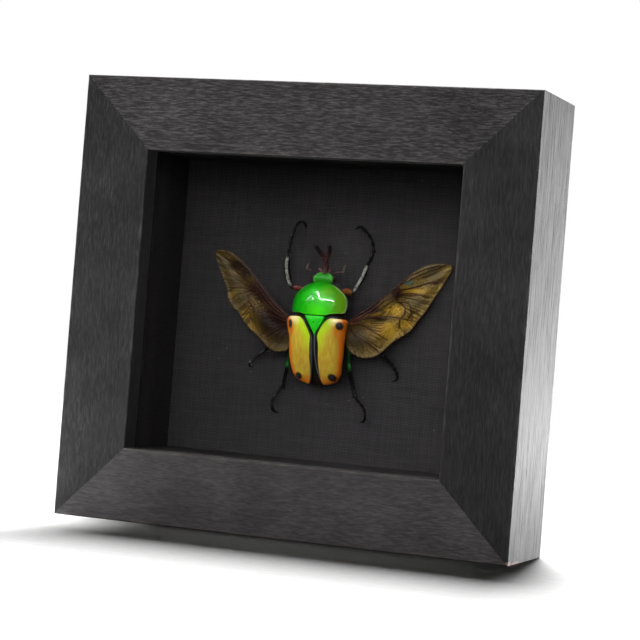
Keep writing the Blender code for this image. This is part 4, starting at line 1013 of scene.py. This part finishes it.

# %% [markdown]
# Each leg has a stout femur, a tibia with two spurs at its end and small teeth along it, a foot of
# five beads and two hooked claws. The front tibiae are broad and polished, and their silver look is
# a painted reflection.

# %% Legs
LEGS = {
    "left_foreleg": {
        "femur": [(-6.1, 9.5, 4.0, 0.75), (-7.7, 9.7, 4.3, 0.95), (-9.8, 9.8, 4.6, 0.6)],
        "tibia": [(-10.1, 9.8, 4.7, 0.5), (-11.2, 11.8, 4.8, 0.9), (-12.0, 14.9, 5.0, 1.0),
                  (-12.1, 17.7, 5.2, 0.85), (-11.8, 19.4, 5.2, 0.55)],
        "foot": [(-11.8, 19.2, 5.2), (-11.6, 21.5, 5.2), (-11.35, 24.0, 5.2), (-10.8, 26.6, 5.1),
                 (-9.9, 28.9, 4.9)],
        "claw": [(-9.9, 28.8, 4.9), (-8.6, 29.7, 4.8), (-7.5, 29.0, 4.6), (-7.2, 27.8, 4.3)],
    },
    "right_foreleg": {
        "femur": [(6.1, 9.6, 4.0, 0.75), (7.5, 9.7, 4.3, 1.0), (9.2, 9.3, 4.6, 0.6)],
        "tibia": [(9.4, 9.4, 4.7, 0.5), (10.6, 11.7, 4.8, 0.8), (12.0, 14.2, 5.0, 0.88),
                  (12.95, 16.6, 5.2, 0.78), (13.5, 18.3, 5.2, 0.55)],
        "foot": [(13.4, 18.2, 5.2), (14.6, 20.4, 5.2), (15.0, 22.3, 5.2), (14.4, 24.5, 5.1),
                 (13.2, 26.6, 5.0), (11.6, 28.1, 4.9)],
        "claw": [(11.7, 28.0, 4.9), (10.6, 28.9, 4.8), (9.5, 28.9, 4.6), (8.6, 28.4, 4.4)],
    },
    "left_midleg": {
        "femur": [(-8.0, -3.6, 2.5, 0.8), (-10.8, -4.3, 2.9, 0.9), (-13.8, -5.7, 3.0, 0.55)],
        "tibia": [(-13.6, -5.5, 3.0, 0.55), (-16.2, -8.0, 2.8, 0.62), (-18.6, -10.1, 2.6, 0.5)],
        "foot": [(-18.4, -9.9, 2.6), (-20.2, -11.2, 2.5), (-21.6, -12.3, 2.3), (-22.7, -13.5, 2.0)],
        "claw": [(-22.6, -13.4, 2.0), (-23.0, -14.2, 1.8), (-22.7, -14.8, 1.6), (-22.0, -14.9, 1.4)],
    },
    "right_midleg": {
        "femur": [(8.0, -3.2, 2.5, 0.8), (10.8, -3.6, 2.9, 0.9), (14.0, -4.8, 3.0, 0.55)],
        "tibia": [(13.8, -4.7, 3.0, 0.55), (16.6, -6.4, 2.8, 0.62), (19.3, -8.3, 2.6, 0.5)],
        "foot": [(19.1, -8.1, 2.6), (20.6, -9.3, 2.5), (22.6, -11.1, 2.2), (24.0, -13.2, 1.9)],
        "claw": [(23.9, -13.1, 1.9), (24.2, -14.4, 1.7), (23.7, -15.3, 1.5), (22.6, -15.7, 1.4)],
    },
    "left_hindleg": {
        "femur": [(-7.7, -6.0, 2.4, 0.7), (-9.2, -8.6, 3.0, 0.95), (-9.9, -12.4, 3.5, 0.55)],
        "tibia": [(-9.9, -12.0, 3.5, 0.55), (-10.5, -16.2, 3.3, 0.62), (-11.1, -19.7, 3.0, 0.58)],
        "foot": [(-11.0, -19.4, 3.0), (-12.4, -21.1, 2.7), (-13.8, -22.6, 2.5), (-14.6, -24.2, 2.3),
                 (-14.8, -25.9, 2.0)],
        "claw": [(-14.8, -25.7, 2.0), (-14.4, -27.0, 1.7), (-13.6, -27.7, 1.5), (-12.6, -27.8, 1.3)],
    },
    "right_hindleg": {
        "femur": [(7.7, -5.6, 2.4, 0.7), (8.8, -8.2, 3.0, 0.9), (9.2, -11.6, 3.5, 0.55)],
        "tibia": [(9.2, -11.2, 3.5, 0.55), (10.3, -16.0, 3.3, 0.62), (11.6, -20.2, 3.0, 0.58)],
        "foot": [(11.5, -19.9, 3.0), (12.5, -21.9, 2.7), (13.9, -23.4, 2.5), (14.9, -24.9, 2.2),
                 (15.1, -26.3, 1.9)],
        "claw": [(15.1, -26.1, 1.9), (15.1, -27.4, 1.7), (14.5, -28.3, 1.5), (13.6, -28.5, 1.3)],
    },
}
FOOT_BEADS = 5
BEAD_NECK, BEAD_SWELL = 0.54, 0.76
SPUR_LENGTH, SPUR_LEAN = 1.25, 0.7
TOOTH_LENGTH, TOOTH_PLACES = 0.5, (0.45, 0.62, 0.8)
CLAW_RADIUS, CLAW_SPREAD, CLAW_TAPER = 0.46, 0.26, (1.0, 0.9, 0.65, 0.3)
LEG_VOXEL = 0.075


def leg_limbs(parts):
    """The round-ended limbs that make one leg."""
    limbs = [limb(parts["femur"], 0.8), limb(parts["tibia"], 0.62)]
    tibia = smooth_line(parts["tibia"], 6)
    ankle, ahead = tibia[-1, :3], tibia[-1, :3] - tibia[-4, :3]
    ahead = ahead / np.linalg.norm(ahead)
    side = np.cross(ahead, (0.0, 0.0, 1.0))
    for lean in (-SPUR_LEAN, SPUR_LEAN):
        tip = ankle + (ahead + side * lean) * SPUR_LENGTH
        root = ankle - ahead * 0.3
        limbs.append(limb([(*root, 0.3), (*((root + tip) / 2), 0.22), (*tip, 0.09)]))
    for place in TOOTH_PLACES:
        spot_on = tibia[int(place * (len(tibia) - 1))]
        outward = side * math.copysign(1.0, side[0] * ankle[0])
        tip = spot_on[:3] + outward * (spot_on[3] + TOOTH_LENGTH * 0.6) + ahead * TOOTH_LENGTH
        limbs.append(limb([(*(spot_on[:3] + outward * spot_on[3] * 0.5), 0.2), (*tip, 0.06)]))
    foot = along(smooth_line(parts["foot"]), FOOT_BEADS * 4 + 1)
    for k in range(FOOT_BEADS):
        a, b, c = foot[4 * k], foot[4 * k + 2], foot[4 * k + 4]
        size = 1.0 - 0.05 * k
        limbs.append(limb([(*a, BEAD_NECK), (*b, 0.44 * size), (*(b + (c - b) * 0.75), BEAD_SWELL * size),
                           (*c, BEAD_NECK)], 0.9))
    for lift in (CLAW_SPREAD, -CLAW_SPREAD):
        limbs.append(limb([(p[0], p[1], p[2] + lift * min(k, 1), CLAW_RADIUS * CLAW_TAPER[k])
                           for k, p in enumerate(parts["claw"])]))
    return limbs


# %% [markdown]
# The legs are black chitin with a glossy skin. A painted reflection shines silver along a strip on
# top of the front shins. Both front thighs are red-brown: the left is painted darker as painted shade,
# the right lighter and more amber as painted light. The hind shins gleam green below the knee, a
# painted sheen. Each of these is a mask on the skin's points, from how near a point lies to the
# middle line of the thigh or the shin, because that holds wherever the leg is bent.

# %% Legs: black chitin
mat, tree, shader = finish("leg_chitin", {"Coat Weight": 1.0, "Coat Roughness": 0.08, "Coat IOR": 1.65,
                                          "Specular IOR Level": 0.12})
surfaced(tree, shader, grained(tree, 0.7), [(0.3, "040404"), (0.7, "0D0B0B")],
         [("sheen", "1C6A22"), ("silver", "8C8A84"), ("red", "4E1612"), ("amber", "6E3A12")],
         gloss=(0.22, 0.42))
for name, parts in LEGS.items():
    points, faces = melted(leg_limbs(parts), LEG_VOXEL, 1)
    thigh, _ = nearness(points, parts["femur"])
    shin, reach = nearness(points, parts["tibia"])
    is_thigh = soft_step(shin - thigh, -0.1, 0.3)
    is_shin = (1.0 - is_thigh) * (shin < 1.2)
    flat = np.array((1.0, 1.0, 0.0))
    aside, _ = nearness(points * flat, [np.array(p[:3]) * flat for p in parts["tibia"]])
    stripe = soft_step(points[:, 2], 4.9, 5.1) * (1.0 - soft_step(aside, 0.3, 0.6))
    stripe = stripe * np.clip(0.8 + 0.9 * ripple(points, (0.7, 0.7, 0.7), 12.0), 0.15, 1.0)
    between = soft_step(reach, 0.02, 0.12) * (1 - soft_step(reach, 0.86, 0.98))
    masks = {
        # Painted light: the left thigh is painted darker and the right lighter, the silver strip is a painted
        # reflection and the green of the hind shins a painted sheen.
        "red": is_thigh * (name == "left_foreleg") * 0.85,
        "amber": is_thigh * (name == "right_foreleg") * 0.85,
        "silver": is_shin * stripe * between * ("fore" in name) * 0.9,
        "sheen": (0.25 * is_thigh + 0.8 * is_shin * hump(reach, 0.12, 0.12)) * ("hind" in name),
    }
    finished(name + "_skin", at(points), faces, [mat], [name], masks)

# %% [markdown]
# ## Hindwings
# The hindwings fold under the covers when the beetle rests. They are a film a few hundredths of a
# millimetre thick, amber and see-through, stiffened by red-brown veins that gather in a thick bundle
# along the front edge, meet in a folding joint two thirds of the way out, and fan from there to the
# tip. A wing that dries keeps its fold lines and crinkles. So each wing here is a fine grid between
# its front and back edge, raised along its veins and crumpled by a noise that fans out as they do.

# %% Hindwings: form
WING_LEADING = {
    "left": [(8.3, 0.6, 5.2), (10.6, 1.9, 5.5), (13.4, 4.2, 5.3), (17.0, 7.3, 4.8), (21.0, 11.2, 4.2),
             (24.0, 13.9, 3.6), (27.0, 16.6, 2.9), (31.0, 19.0, 2.0), (34.2, 20.0, 1.4), (37.0, 19.8, 1.0)],
    "right": [(8.3, 0.7, 5.2), (10.6, 2.1, 5.5), (13.2, 4.0, 5.3), (16.6, 6.7, 4.8), (20.2, 10.2, 4.2),
              (23.4, 13.3, 3.6), (26.4, 16.4, 2.9), (30.0, 18.9, 2.0), (34.2, 20.0, 1.4), (38.1, 19.9, 1.0)],
}
WING_TRAILING = {
    "left": [(8.3, -6.6, 5.0), (10.4, -9.2, 4.9), (13.7, -9.7, 4.6), (16.4, -8.8, 4.3), (19.3, -6.4, 3.8),
             (22.8, -3.9, 3.2), (25.7, -1.4, 2.6), (27.6, 0.8, 2.2), (30.0, 2.7, 1.8), (31.8, 5.0, 1.6),
             (32.6, 8.0, 1.4), (34.1, 10.8, 1.2), (36.0, 14.6, 1.0), (37.7, 17.9, 0.9)],
    "right": [(8.3, -6.2, 5.0), (10.2, -8.2, 4.9), (12.5, -9.3, 4.7), (15.0, -9.5, 4.5), (17.4, -8.9, 4.2),
              (19.6, -7.3, 3.8), (22.1, -4.6, 3.3), (24.5, -2.7, 2.7), (27.0, -0.8, 2.2), (29.1, 2.4, 1.8),
              (31.3, 5.5, 1.5), (33.1, 8.8, 1.3), (35.6, 13.2, 1.0), (38.2, 18.3, 0.9)],
}
VEINS = {
    "left": [
        (0.34, [(9.6, 0.6), (11.5, 1.9), (16.0, 5.4), (19.6, 9.0), (22.7, 12.0), (24.6, 13.6)]),
        (0.26, [(9.8, 0.2), (12.2, 1.4), (16.6, 4.4), (19.4, 7.4), (21.4, 9.6)]),
        (0.24, [(9.5, -0.2), (13.5, 1.4), (17.5, 3.8), (20.0, 6.4), (21.3, 8.4)]),
        (0.22, [(21.8, 10.9), (25.2, 14.4), (28.4, 16.6), (32.0, 18.6), (35.4, 19.2)]),
        (0.16, [(21.2, 9.6), (24.9, 12.0), (28.8, 14.6), (32.2, 16.6), (35.2, 18.4)]),
        (0.18, [(20.9, 9.0), (24.9, 10.6), (28.8, 13.0), (32.4, 15.2)]),
        (0.18, [(21.0, 8.3), (25.9, 9.7), (29.6, 11.5), (33.4, 13.0)]),
        (0.15, [(21.0, 7.8), (24.8, 8.6), (29.3, 8.6), (31.8, 7.6)]),
        (0.16, [(21.0, 7.6), (24.5, 6.4), (23.4, 4.1), (22.0, 2.2)]),
        (0.2, [(9.6, -0.6), (11.8, -0.2), (16.6, 1.2), (21.7, 1.8), (26.6, 0.7)]),
        (0.15, [(9.4, -1.2), (12.7, -1.6), (15.6, -3.0), (19.6, -5.2)]),
        (0.13, [(9.2, -1.6), (11.4, -3.0), (13.9, -7.0)]),
    ],
    "right": [
        (0.34, [(9.5, 0.9), (12.0, 3.0), (15.2, 5.4), (18.5, 8.4), (21.3, 11.0), (23.8, 13.4)]),
        (0.26, [(9.7, 0.5), (13.4, 3.0), (16.8, 5.6), (20.0, 8.2), (22.4, 9.6)]),
        (0.22, [(9.5, 0.1), (12.6, 1.7), (16.6, 4.2), (19.8, 6.6), (22.4, 8.6)]),
        (0.3, [(23.9, 13.6), (22.8, 12.0), (22.4, 9.8), (22.9, 8.0)]),
        (0.2, [(23.0, 12.4), (25.6, 15.0), (28.6, 17.0), (32.4, 18.7), (35.6, 19.3)]),
        (0.12, [(23.4, 12.6), (27.7, 15.3), (31.2, 17.2), (34.7, 18.6)]),
        (0.18, [(22.9, 10.9), (28.0, 12.6), (31.4, 14.0), (34.0, 14.4)]),
        (0.15, [(22.7, 9.6), (25.8, 10.5), (29.2, 10.3), (31.6, 9.7)]),
        (0.2, [(9.6, 0.2), (11.6, 1.3), (15.0, 2.4), (19.5, 3.2), (23.7, 3.1), (27.6, 2.5)]),
        (0.15, [(22.9, 7.8), (25.0, 6.6), (25.2, 4.5), (24.1, 2.9), (23.9, 0.2)]),
        (0.13, [(23.2, 7.6), (26.1, 7.6), (27.1, 4.9), (26.1, 2.6)]),
        (0.15, [(9.4, -0.6), (12.0, 0.4), (15.4, -0.9), (17.8, -2.1), (20.6, -3.6)]),
        (0.13, [(9.2, -1.0), (10.8, -2.6), (14.0, -6.4)]),
    ],
}
WING_ROWS, WING_COLUMNS = 180, 90
WING_SKIN, WING_FRONT_SKIN = 0.07, 0.3
WING_JOINT = 21.6
WING_ROOT, FAN_SHIFT = (7.0, 0.5), (11.0, 9.0)
CRUMPLED_PATCH = ((22.0, 4.5), (4.5, 3.2))
PLEAT_HEIGHT, PLEATS, WING_SAG, VEIN_RIDGE = 0.3, 2, 0.35, 0.12
FOLD_SIZES, CRUMPLE_SIZE = (0.045, 9.0), 0.7


def vein_distance(u, v, side):
    """Distance in mm of places on the wing from the nearest vein."""
    lines = np.concatenate([along(smooth_line(line), LINE_READS) for _, line in VEINS[side]])
    flat = np.stack([u.ravel(), v.ravel()], axis=1)
    gap = np.full(len(flat), 99.0)
    for place in lines:
        gap = np.minimum(gap, np.hypot(flat[:, 0] - place[0], flat[:, 1] - place[1]))
    return gap.reshape(u.shape)


def wing_form(side):
    """Grids of u (as on a right wing), v, h, and the distances that the colours need."""
    lead = along(smooth_line(WING_LEADING[side]), WING_ROWS)[:, None]
    trail = along(smooth_line(WING_TRAILING[side]), WING_ROWS)[:, None]
    trail = trail + 0.16 * ripple(trail[..., :2], (1.1, 1.1), 3.0)[..., None] * np.array((1, 1, 0))
    across = (np.linspace(0, 1, WING_COLUMNS) ** 1.15)[None, :]
    grid = lead + (trail - lead) * across[..., None]
    u, v, h = grid[..., 0], grid[..., 1], grid[..., 2]
    reach = np.linspace(0, 1, WING_ROWS)[:, None]
    fade = np.sin(math.pi * reach) ** 0.5
    pleat = PLEAT_HEIGHT * np.sin(2 * math.pi * PLEATS * across)
    h = h + (pleat - WING_SAG * np.sin(math.pi * across)) * fade
    gap = vein_distance(u, v, side)
    out = soft_step(u, WING_JOINT - 3, WING_JOINT + 2)
    from_root = u - WING_ROOT[0], v - WING_ROOT[1]
    fan = np.arctan2(from_root[1] - FAN_SHIFT[1] * out, from_root[0] - FAN_SHIFT[0] * out)
    seed = 2.0 if side == "left" else 4.0
    folds = ripple(np.stack([fan, np.hypot(*from_root)], axis=-1), FOLD_SIZES, seed)
    crumple = ripple(np.stack([u, v], axis=-1), (CRUMPLE_SIZE, CRUMPLE_SIZE), seed + 4.0)
    loose = soft_step(gap, 0.1, 0.8) * np.minimum(1.0, 6 * across) * fade
    h = h + VEIN_RIDGE * hump(gap, 0.0, 0.4) * fade
    h = h + loose * (0.5 * (0.4 - np.abs(folds)) + crumple * (0.1 + 0.5 * blob(u, v, *CRUMPLED_PATCH)))
    return u, v, h, across * np.ones_like(u), gap, folds


# %% [markdown]
# The film is amber where it lies flat, dark red-brown near the veins, and smoky at its root and
# round its edge. Gold is a painted highlight where it is crumpled and catches light. Painted shade lies
# in its folds and painted highlights along their crests, and a painted shade darkens the whole wing,
# the left one more. One patch by the joint of the right wing, and a speck on the left one, shine a
# dull green, as thin films do. The shader lets a part of the light through, with the IOR of chitin.

# %% Hindwings: amber film
# The gold patches are painted highlights where the film is crumpled.
WING_PATCHES = {
    "left": {
        "gold": [((21.6, -2.8), (2.4, 2.2)), ((24.4, 1.0), (2.0, 1.4)), ((29.4, 6.4), (1.2, 1.4))],
        "dark": [((16.2, -0.6), (6.0, 5.0)), ((18.8, 6.6), (3.6, 2.2)), ((25.8, 13.4), (2.6, 1.8)),
                 ((12.2, -3.0), (3.4, 3.4)), ((22.5, 8.5), (3.0, 2.2)), ((29.6, 15.4), (3.4, 1.4))],
        "grey": [((27.6, 5.6), (3.0, 2.8)), ((12.6, -7.4), (3.0, 1.8)), ((30.6, 11.0), (3.0, 3.0)),
                 ((34.6, 15.8), (3.0, 3.0))],
        "shine": [((25.4, 12.6), (0.3, 0.3))],
    },
    "right": {
        "gold": [((16.8, 3.6), (3.4, 1.0)), ((22.0, 5.4), (3.0, 1.8)), ((20.2, -0.8), (3.6, 2.6)),
                 ((26.0, 1.6), (2.0, 1.6)), ((27.0, 11.3), (3.4, 0.8))],
        "dark": [((14.0, 4.8), (3.6, 1.2)), ((22.6, 10.6), (1.4, 2.2)), ((18.0, 2.4), (3.4, 0.5))],
        "grey": [((28.4, 8.2), (2.6, 1.8)), ((32.6, 16.8), (2.8, 2.4)), ((11.4, -4.5), (2.6, 2.6))],
        "shine": [((26.0, 13.6), (1.1, 0.6))],
    },
}
# The dark root is the wing's own; the darkening of the whole wing is painted shade, heavier on the left wing.
WING_ROOT_DARK_AND_PAINTED_SHADE = {  # place and radii of the dark root, how deep it is, how dark the whole wing is
    "left": ((13.5, -1.0), (7.0, 6.0), 0.62, 0.26),
    "right": ((12.5, -4.0), (6.0, 5.5), 0.55, 0.12),
}
WING_LENGTH = 40.0
mat, tree, shader = finish("amber_wing_film", {"Transmission Weight": 0.15, "IOR": 1.5, "Coat Weight": 0.02,
                                               "Coat Roughness": 0.2, "Specular IOR Level": 0.1})
surfaced(tree, shader, grained(tree, 0.7, 5.0, 0.6), [(0.3, "48360E"), (0.5, "70581E"), (0.7, "9A7E38")],
         [("gold", "BE9420"), ("grey", "5E5436"), ("fold", "3A200E"), ("glint", "B89C60"),
          ("dusk", "24140A"), ("dark", "180804"), ("vein", "260C08"), ("shine", "40605A"),
          ("edge", "1C1008")], gloss=(0.4, 0.6), relief=(0.7, 0.15))

wing_grids = {}
for side, sign in SIGNS.items():
    u, v, h, across, gap, folds = wing_form(side)
    wing_grids[side] = (u, v, h)
    near_root = 1 - soft_step(u, 20.0, 26.0)
    skin = WING_SKIN + (WING_FRONT_SKIN - WING_SKIN) * (1 - across) ** 8 * near_root
    top = np.stack([sign * u, v, h + skin / 2], axis=-1)
    points, faces = sheet(top, np.stack([sign * u, v, h - skin / 2], axis=-1))
    masks = {}
    for key, places in WING_PATCHES[side].items():
        patches = np.max([blob(u, v, *place) for place in places], axis=0)
        masks[key] = np.clip(patches * (1.15 + 0.5 * folds), 0, 0.95)
    front_edge = 0.75 * (1 - across) ** 5 * (1 - soft_step(u, 19, 26))
    masks["dark"] = np.clip(masks["dark"] + front_edge, 0, 1)
    # Painted shade in the folds, and a painted highlight along their crests.
    masks["fold"] = soft_step(np.abs(folds), 0.18, 0.42) * 0.75
    masks["glint"] = (1 - soft_step(np.abs(folds), 0.0, 0.07)) * 0.5 * soft_step(u, 12, 20)
    place, radii, deep, painted_shade_all_over = WING_ROOT_DARK_AND_PAINTED_SHADE[side]
    masks["dusk"] = np.clip(painted_shade_all_over + deep * blob(u, v, place, radii), 0, 0.9)
    masks["vein"] = hump(gap, 0.0, 0.28) * 0.85
    chord = np.hypot(u[:, -1] - u[:, 0], v[:, -1] - v[:, 0])[:, None]
    to_tip = WING_LENGTH * (1 - np.linspace(0, 1, WING_ROWS))[:, None]
    to_edge = np.minimum(np.minimum(across, 1 - across) * chord, to_tip)
    masks["edge"] = (1 - soft_step(to_edge, 0.12, 0.5)) * 0.9
    finished(side + "_wing_film", at(points), faces, [mat], [side + "_hindwing"],
             {k: np.tile(m.ravel(), 2) for k, m in masks.items()})

# %% [markdown]
# ## Veins, bristles and dust by Geometry Nodes
# Veins are tubes that follow lines on the wing and thin out along them. Bristles stand on the shins
# at random, and dust lies on the board at random. Each of these is a rule, so each gets a small
# Geometry Nodes tree. One helper makes a tree's inputs, and one turns its result into a plain mesh.

# %% Helpers for Geometry Nodes
def new_tree(name, sizes):
    """A Geometry Nodes tree with a mesh input, named inputs for sizes, and their nodes."""
    tree = bpy.data.node_groups.new(name, "GeometryNodeTree")
    tree.interface.new_socket("Geometry", in_out="INPUT", socket_type="NodeSocketGeometry")
    for key, (kind, value) in sizes.items():
        tree.interface.new_socket(key, in_out="INPUT", socket_type=kind).default_value = value
    tree.interface.new_socket("Geometry", in_out="OUTPUT", socket_type="NodeSocketGeometry")
    return tree, tree.nodes.new("NodeGroupInput").outputs


def close_tree(tree, geometry, mat):
    """Ends a tree: instances made real, the material set, and the output linked."""
    real = add(tree, "GeometryNodeRealizeInstances", {"Geometry": geometry}).outputs["Geometry"]
    dressed = add(tree, "GeometryNodeSetMaterial", {"Geometry": real, "Material": mat}).outputs["Geometry"]
    add(tree, "NodeGroupOutput", {"Geometry": dressed})


def grown(name, base, tree, nodes=(), values=None):
    """A piece that a tree makes from a base mesh, as a plain mesh on the root body."""
    obj = placed(name, base)
    modifier = obj.modifiers.new("grow", "NODES")
    modifier.node_group = tree
    for socket in tree.interface.items_tree:
        if socket.name in (values or {}):
            modifier[socket.identifier] = values[socket.name]
    plain = evaluated(obj)
    obj.modifiers.clear()
    obj.data = plain
    plain.shade_smooth()
    entered(obj, nodes)


# %% [markdown]
# A vein is a hollow tube that runs out from the wing's root and thins as it goes. Its route is a
# short table of places that are read on the wing's own grid, so that it follows the folds. The tree
# makes a curve of each route and sweeps a circle along it, as wide as the girth on its points.

# %% Wing veins
mat, tree, shader = finish("vein_chitin", {"Coat Weight": 0.15, "Coat Roughness": 0.2, "Coat IOR": 1.5,
                                            "Specular IOR Level": 0.2})
surfaced(tree, shader, grained(tree, 0.6), [(0.3, "180706"), (0.55, "38140E"), (0.75, "7C3C28")],
         gloss=(0.22, 0.4))

VEIN_POINTS, VEIN_TAPER, VEIN_SIDES = 60, 0.62, 10
vein_tree, sizes = new_tree("vein_tubes", {"Sides": ("NodeSocketInt", VEIN_SIDES)})
girth = add(vein_tree, "GeometryNodeInputNamedAttribute", {"Name": "girth"}).outputs[0]
line = add(vein_tree, "GeometryNodeMeshToCurve", {"Mesh": sizes["Geometry"]}).outputs["Curve"]
circle = add(vein_tree, "GeometryNodeCurvePrimitiveCircle", {"Resolution": sizes["Sides"], "Radius": 1.0})
tubes = add(vein_tree, "GeometryNodeCurveToMesh", {"Curve": line, "Profile Curve": circle.outputs["Curve"],
                                                   "Scale": girth, "Fill Caps": True})
close_tree(vein_tree, tubes.outputs["Mesh"], mat)
for side, sign in SIGNS.items():
    gu, gv, gh = (g.ravel() for g in wing_grids[side])
    places, girths, edges = [], [], []
    for radius, table in VEINS[side]:
        for k, (u, v) in enumerate(along(smooth_line(table), VEIN_POINTS)):
            nearest = np.argmin((gu - u) ** 2 + (gv - v) ** 2)
            places.append((sign * gu[nearest], gv[nearest], gh[nearest] + radius * 0.2))
            girths.append(radius * MM * (1 - VEIN_TAPER * k / VEIN_POINTS))
            if k:
                edges.append((len(places) - 2, len(places) - 1))
    name = side + "_wing_veins"
    grown(name, meshed(name, at(places), edges, [], {"girth": girths}), vein_tree,
          [side + "_hindwing"])

# %% [markdown]
# The bristles are stiff hairs on the shins, about a millimetre long. Each is a cone of six sides that is
# set on the shin's middle line and leans out towards the foot, so that its root is inside the shin.

# %% Shin bristles
mat, tree, shader = finish("bristle_chitin", {"Roughness": 0.4})
surfaced(tree, shader, grained(tree, 0.5, 2.0), [(0.3, "1A1210"), (0.7, "3A2820")])
bristle_tree, sizes = new_tree("shin_bristles", {
    "Count": ("NodeSocketInt", 18), "Length": ("NodeSocketFloat", 1.1 * MM),
    "Thickness": ("NodeSocketFloat", 0.045 * MM), "Seed": ("NodeSocketInt", 1)})
line = add(bristle_tree, "GeometryNodeMeshToCurve", {"Mesh": sizes["Geometry"]}).outputs["Curve"]
stand = add(bristle_tree, "GeometryNodeCurveToPoints", {"Curve": line, "Count": sizes["Count"]}, mode="COUNT")
cone = add(bristle_tree, "GeometryNodeMeshCone", {"Vertices": 6, "Radius Top": 0.0, "Depth": sizes["Length"],
                                                  "Radius Bottom": sizes["Thickness"]})
lean = add(bristle_tree, "FunctionNodeRandomValue", {0: (0.6, -0.2, -3.14), 1: (1.0, 0.2, 3.14),
                                                     8: sizes["Seed"]}, data_type="FLOAT_VECTOR")
twist = add(bristle_tree, "FunctionNodeEulerToRotation", {"Euler": lean.outputs[0]})
turned = add(bristle_tree, "FunctionNodeRotateRotation", {"Rotation": stand.outputs["Rotation"],
                                                         "Rotate By": twist.outputs["Rotation"]},
             rotation_space="LOCAL")
growth = add(bristle_tree, "FunctionNodeRandomValue", {2: 0.65, 3: 1.1, 8: sizes["Seed"]}, data_type="FLOAT")
planted = add(bristle_tree, "GeometryNodeInstanceOnPoints",
              {"Points": stand.outputs["Points"], "Instance": cone.outputs["Mesh"],
               "Rotation": turned.outputs["Rotation"], "Scale": growth.outputs[1]})
close_tree(bristle_tree, planted.outputs["Instances"], mat)
for number, (name, parts) in enumerate(LEGS.items()):
    shin = along(smooth_line([p[:3] for p in parts["tibia"]]), 30)[4:]
    edges = [(k, k + 1) for k in range(len(shin) - 1)]
    piece = name + "_bristles"
    grown(piece, meshed(piece, at(shin), edges, []), bristle_tree, [name], {"Seed": number + 1})

# %% [markdown]
# A board that has hung for some time has a little dust on it, pale specks one to three tenths of a
# millimetre wide. The tree scatters points over the board's face and sets a small ball at each.

# %% Dust on the board
mat, tree, shader = finish("house_dust", {"Roughness": 0.95})
surfaced(tree, shader, grained(tree, 1), [(0.3, "7A7570"), (0.7, "A8A29A")])
dust_tree, sizes = new_tree("board_dust", {
    "Density": ("NodeSocketFloat", 4000.0), "Seed": ("NodeSocketInt", 5),
    "Speck": ("NodeSocketFloat", 0.11 * MM)})
spread = add(dust_tree, "GeometryNodeDistributePointsOnFaces",
             {"Mesh": sizes["Geometry"], "Density": sizes["Density"], "Seed": sizes["Seed"]})
speck = add(dust_tree, "GeometryNodeMeshIcoSphere", {"Radius": sizes["Speck"], "Subdivisions": 1})
growth = add(dust_tree, "FunctionNodeRandomValue", {2: 0.4, 3: 1.3, 8: 11}, data_type="FLOAT")
lying = add(dust_tree, "GeometryNodeInstanceOnPoints",
            {"Points": spread.outputs["Points"], "Instance": speck.outputs["Mesh"],
             "Scale": growth.outputs[1]})
close_tree(dust_tree, lying.outputs["Instances"], mat)
inner_x, inner_z = FRAME_WIDTH / 2 - MOULDING_WIDTH - MM, FRAME_HEIGHT / 2 - MOULDING_WIDTH - MM
corners = [(x * inner_x, BOARD_Y, FRAME_HEIGHT / 2 + z * inner_z) for x, z in SQUARE]
grown("board_dust", meshed("board_dust", corners, [], [(0, 1, 2, 3)]), dust_tree)

# %% [markdown]
# The pin is hard spring steel, drawn thin and japanned black. Only a dark dot of it shows, where it
# enters the triangle. It keeps its solid, and its metal is dark with a satin gleam.

# %% Pin
mat, tree, shader = finish("japanned_pin_steel", {"Metallic": 1.0})
surfaced(tree, shader, grained(tree, (0.2, 0.2, 0.8), 2.0), [(0.3, "161616"), (0.7, "2E2E30")],
         gloss=(0.3, 0.45))
dress(["pin"], mat)

# %% [markdown]
# ## What the flagged lamps light
# The room's glow is kept to the case. The patch and the bars are kept to the beetle, and to the pane
# as well, because light that leaves the shell for a lamp goes out through the pane.

# %% Pieces that the flagged lamps light
LIT_WORDS = {"beetle": ("cover", "shield", "triangle", "horned", "skin", "film", "veins", "bristles", "pane"),
             "case": ("_wood", "spacer", "board", "panel", "_point", "hanger")}
for name, words in LIT_WORDS.items():
    for obj in bpy.data.objects:
        if any(word in obj.name for word in words):
            lit[name].objects.link(obj)
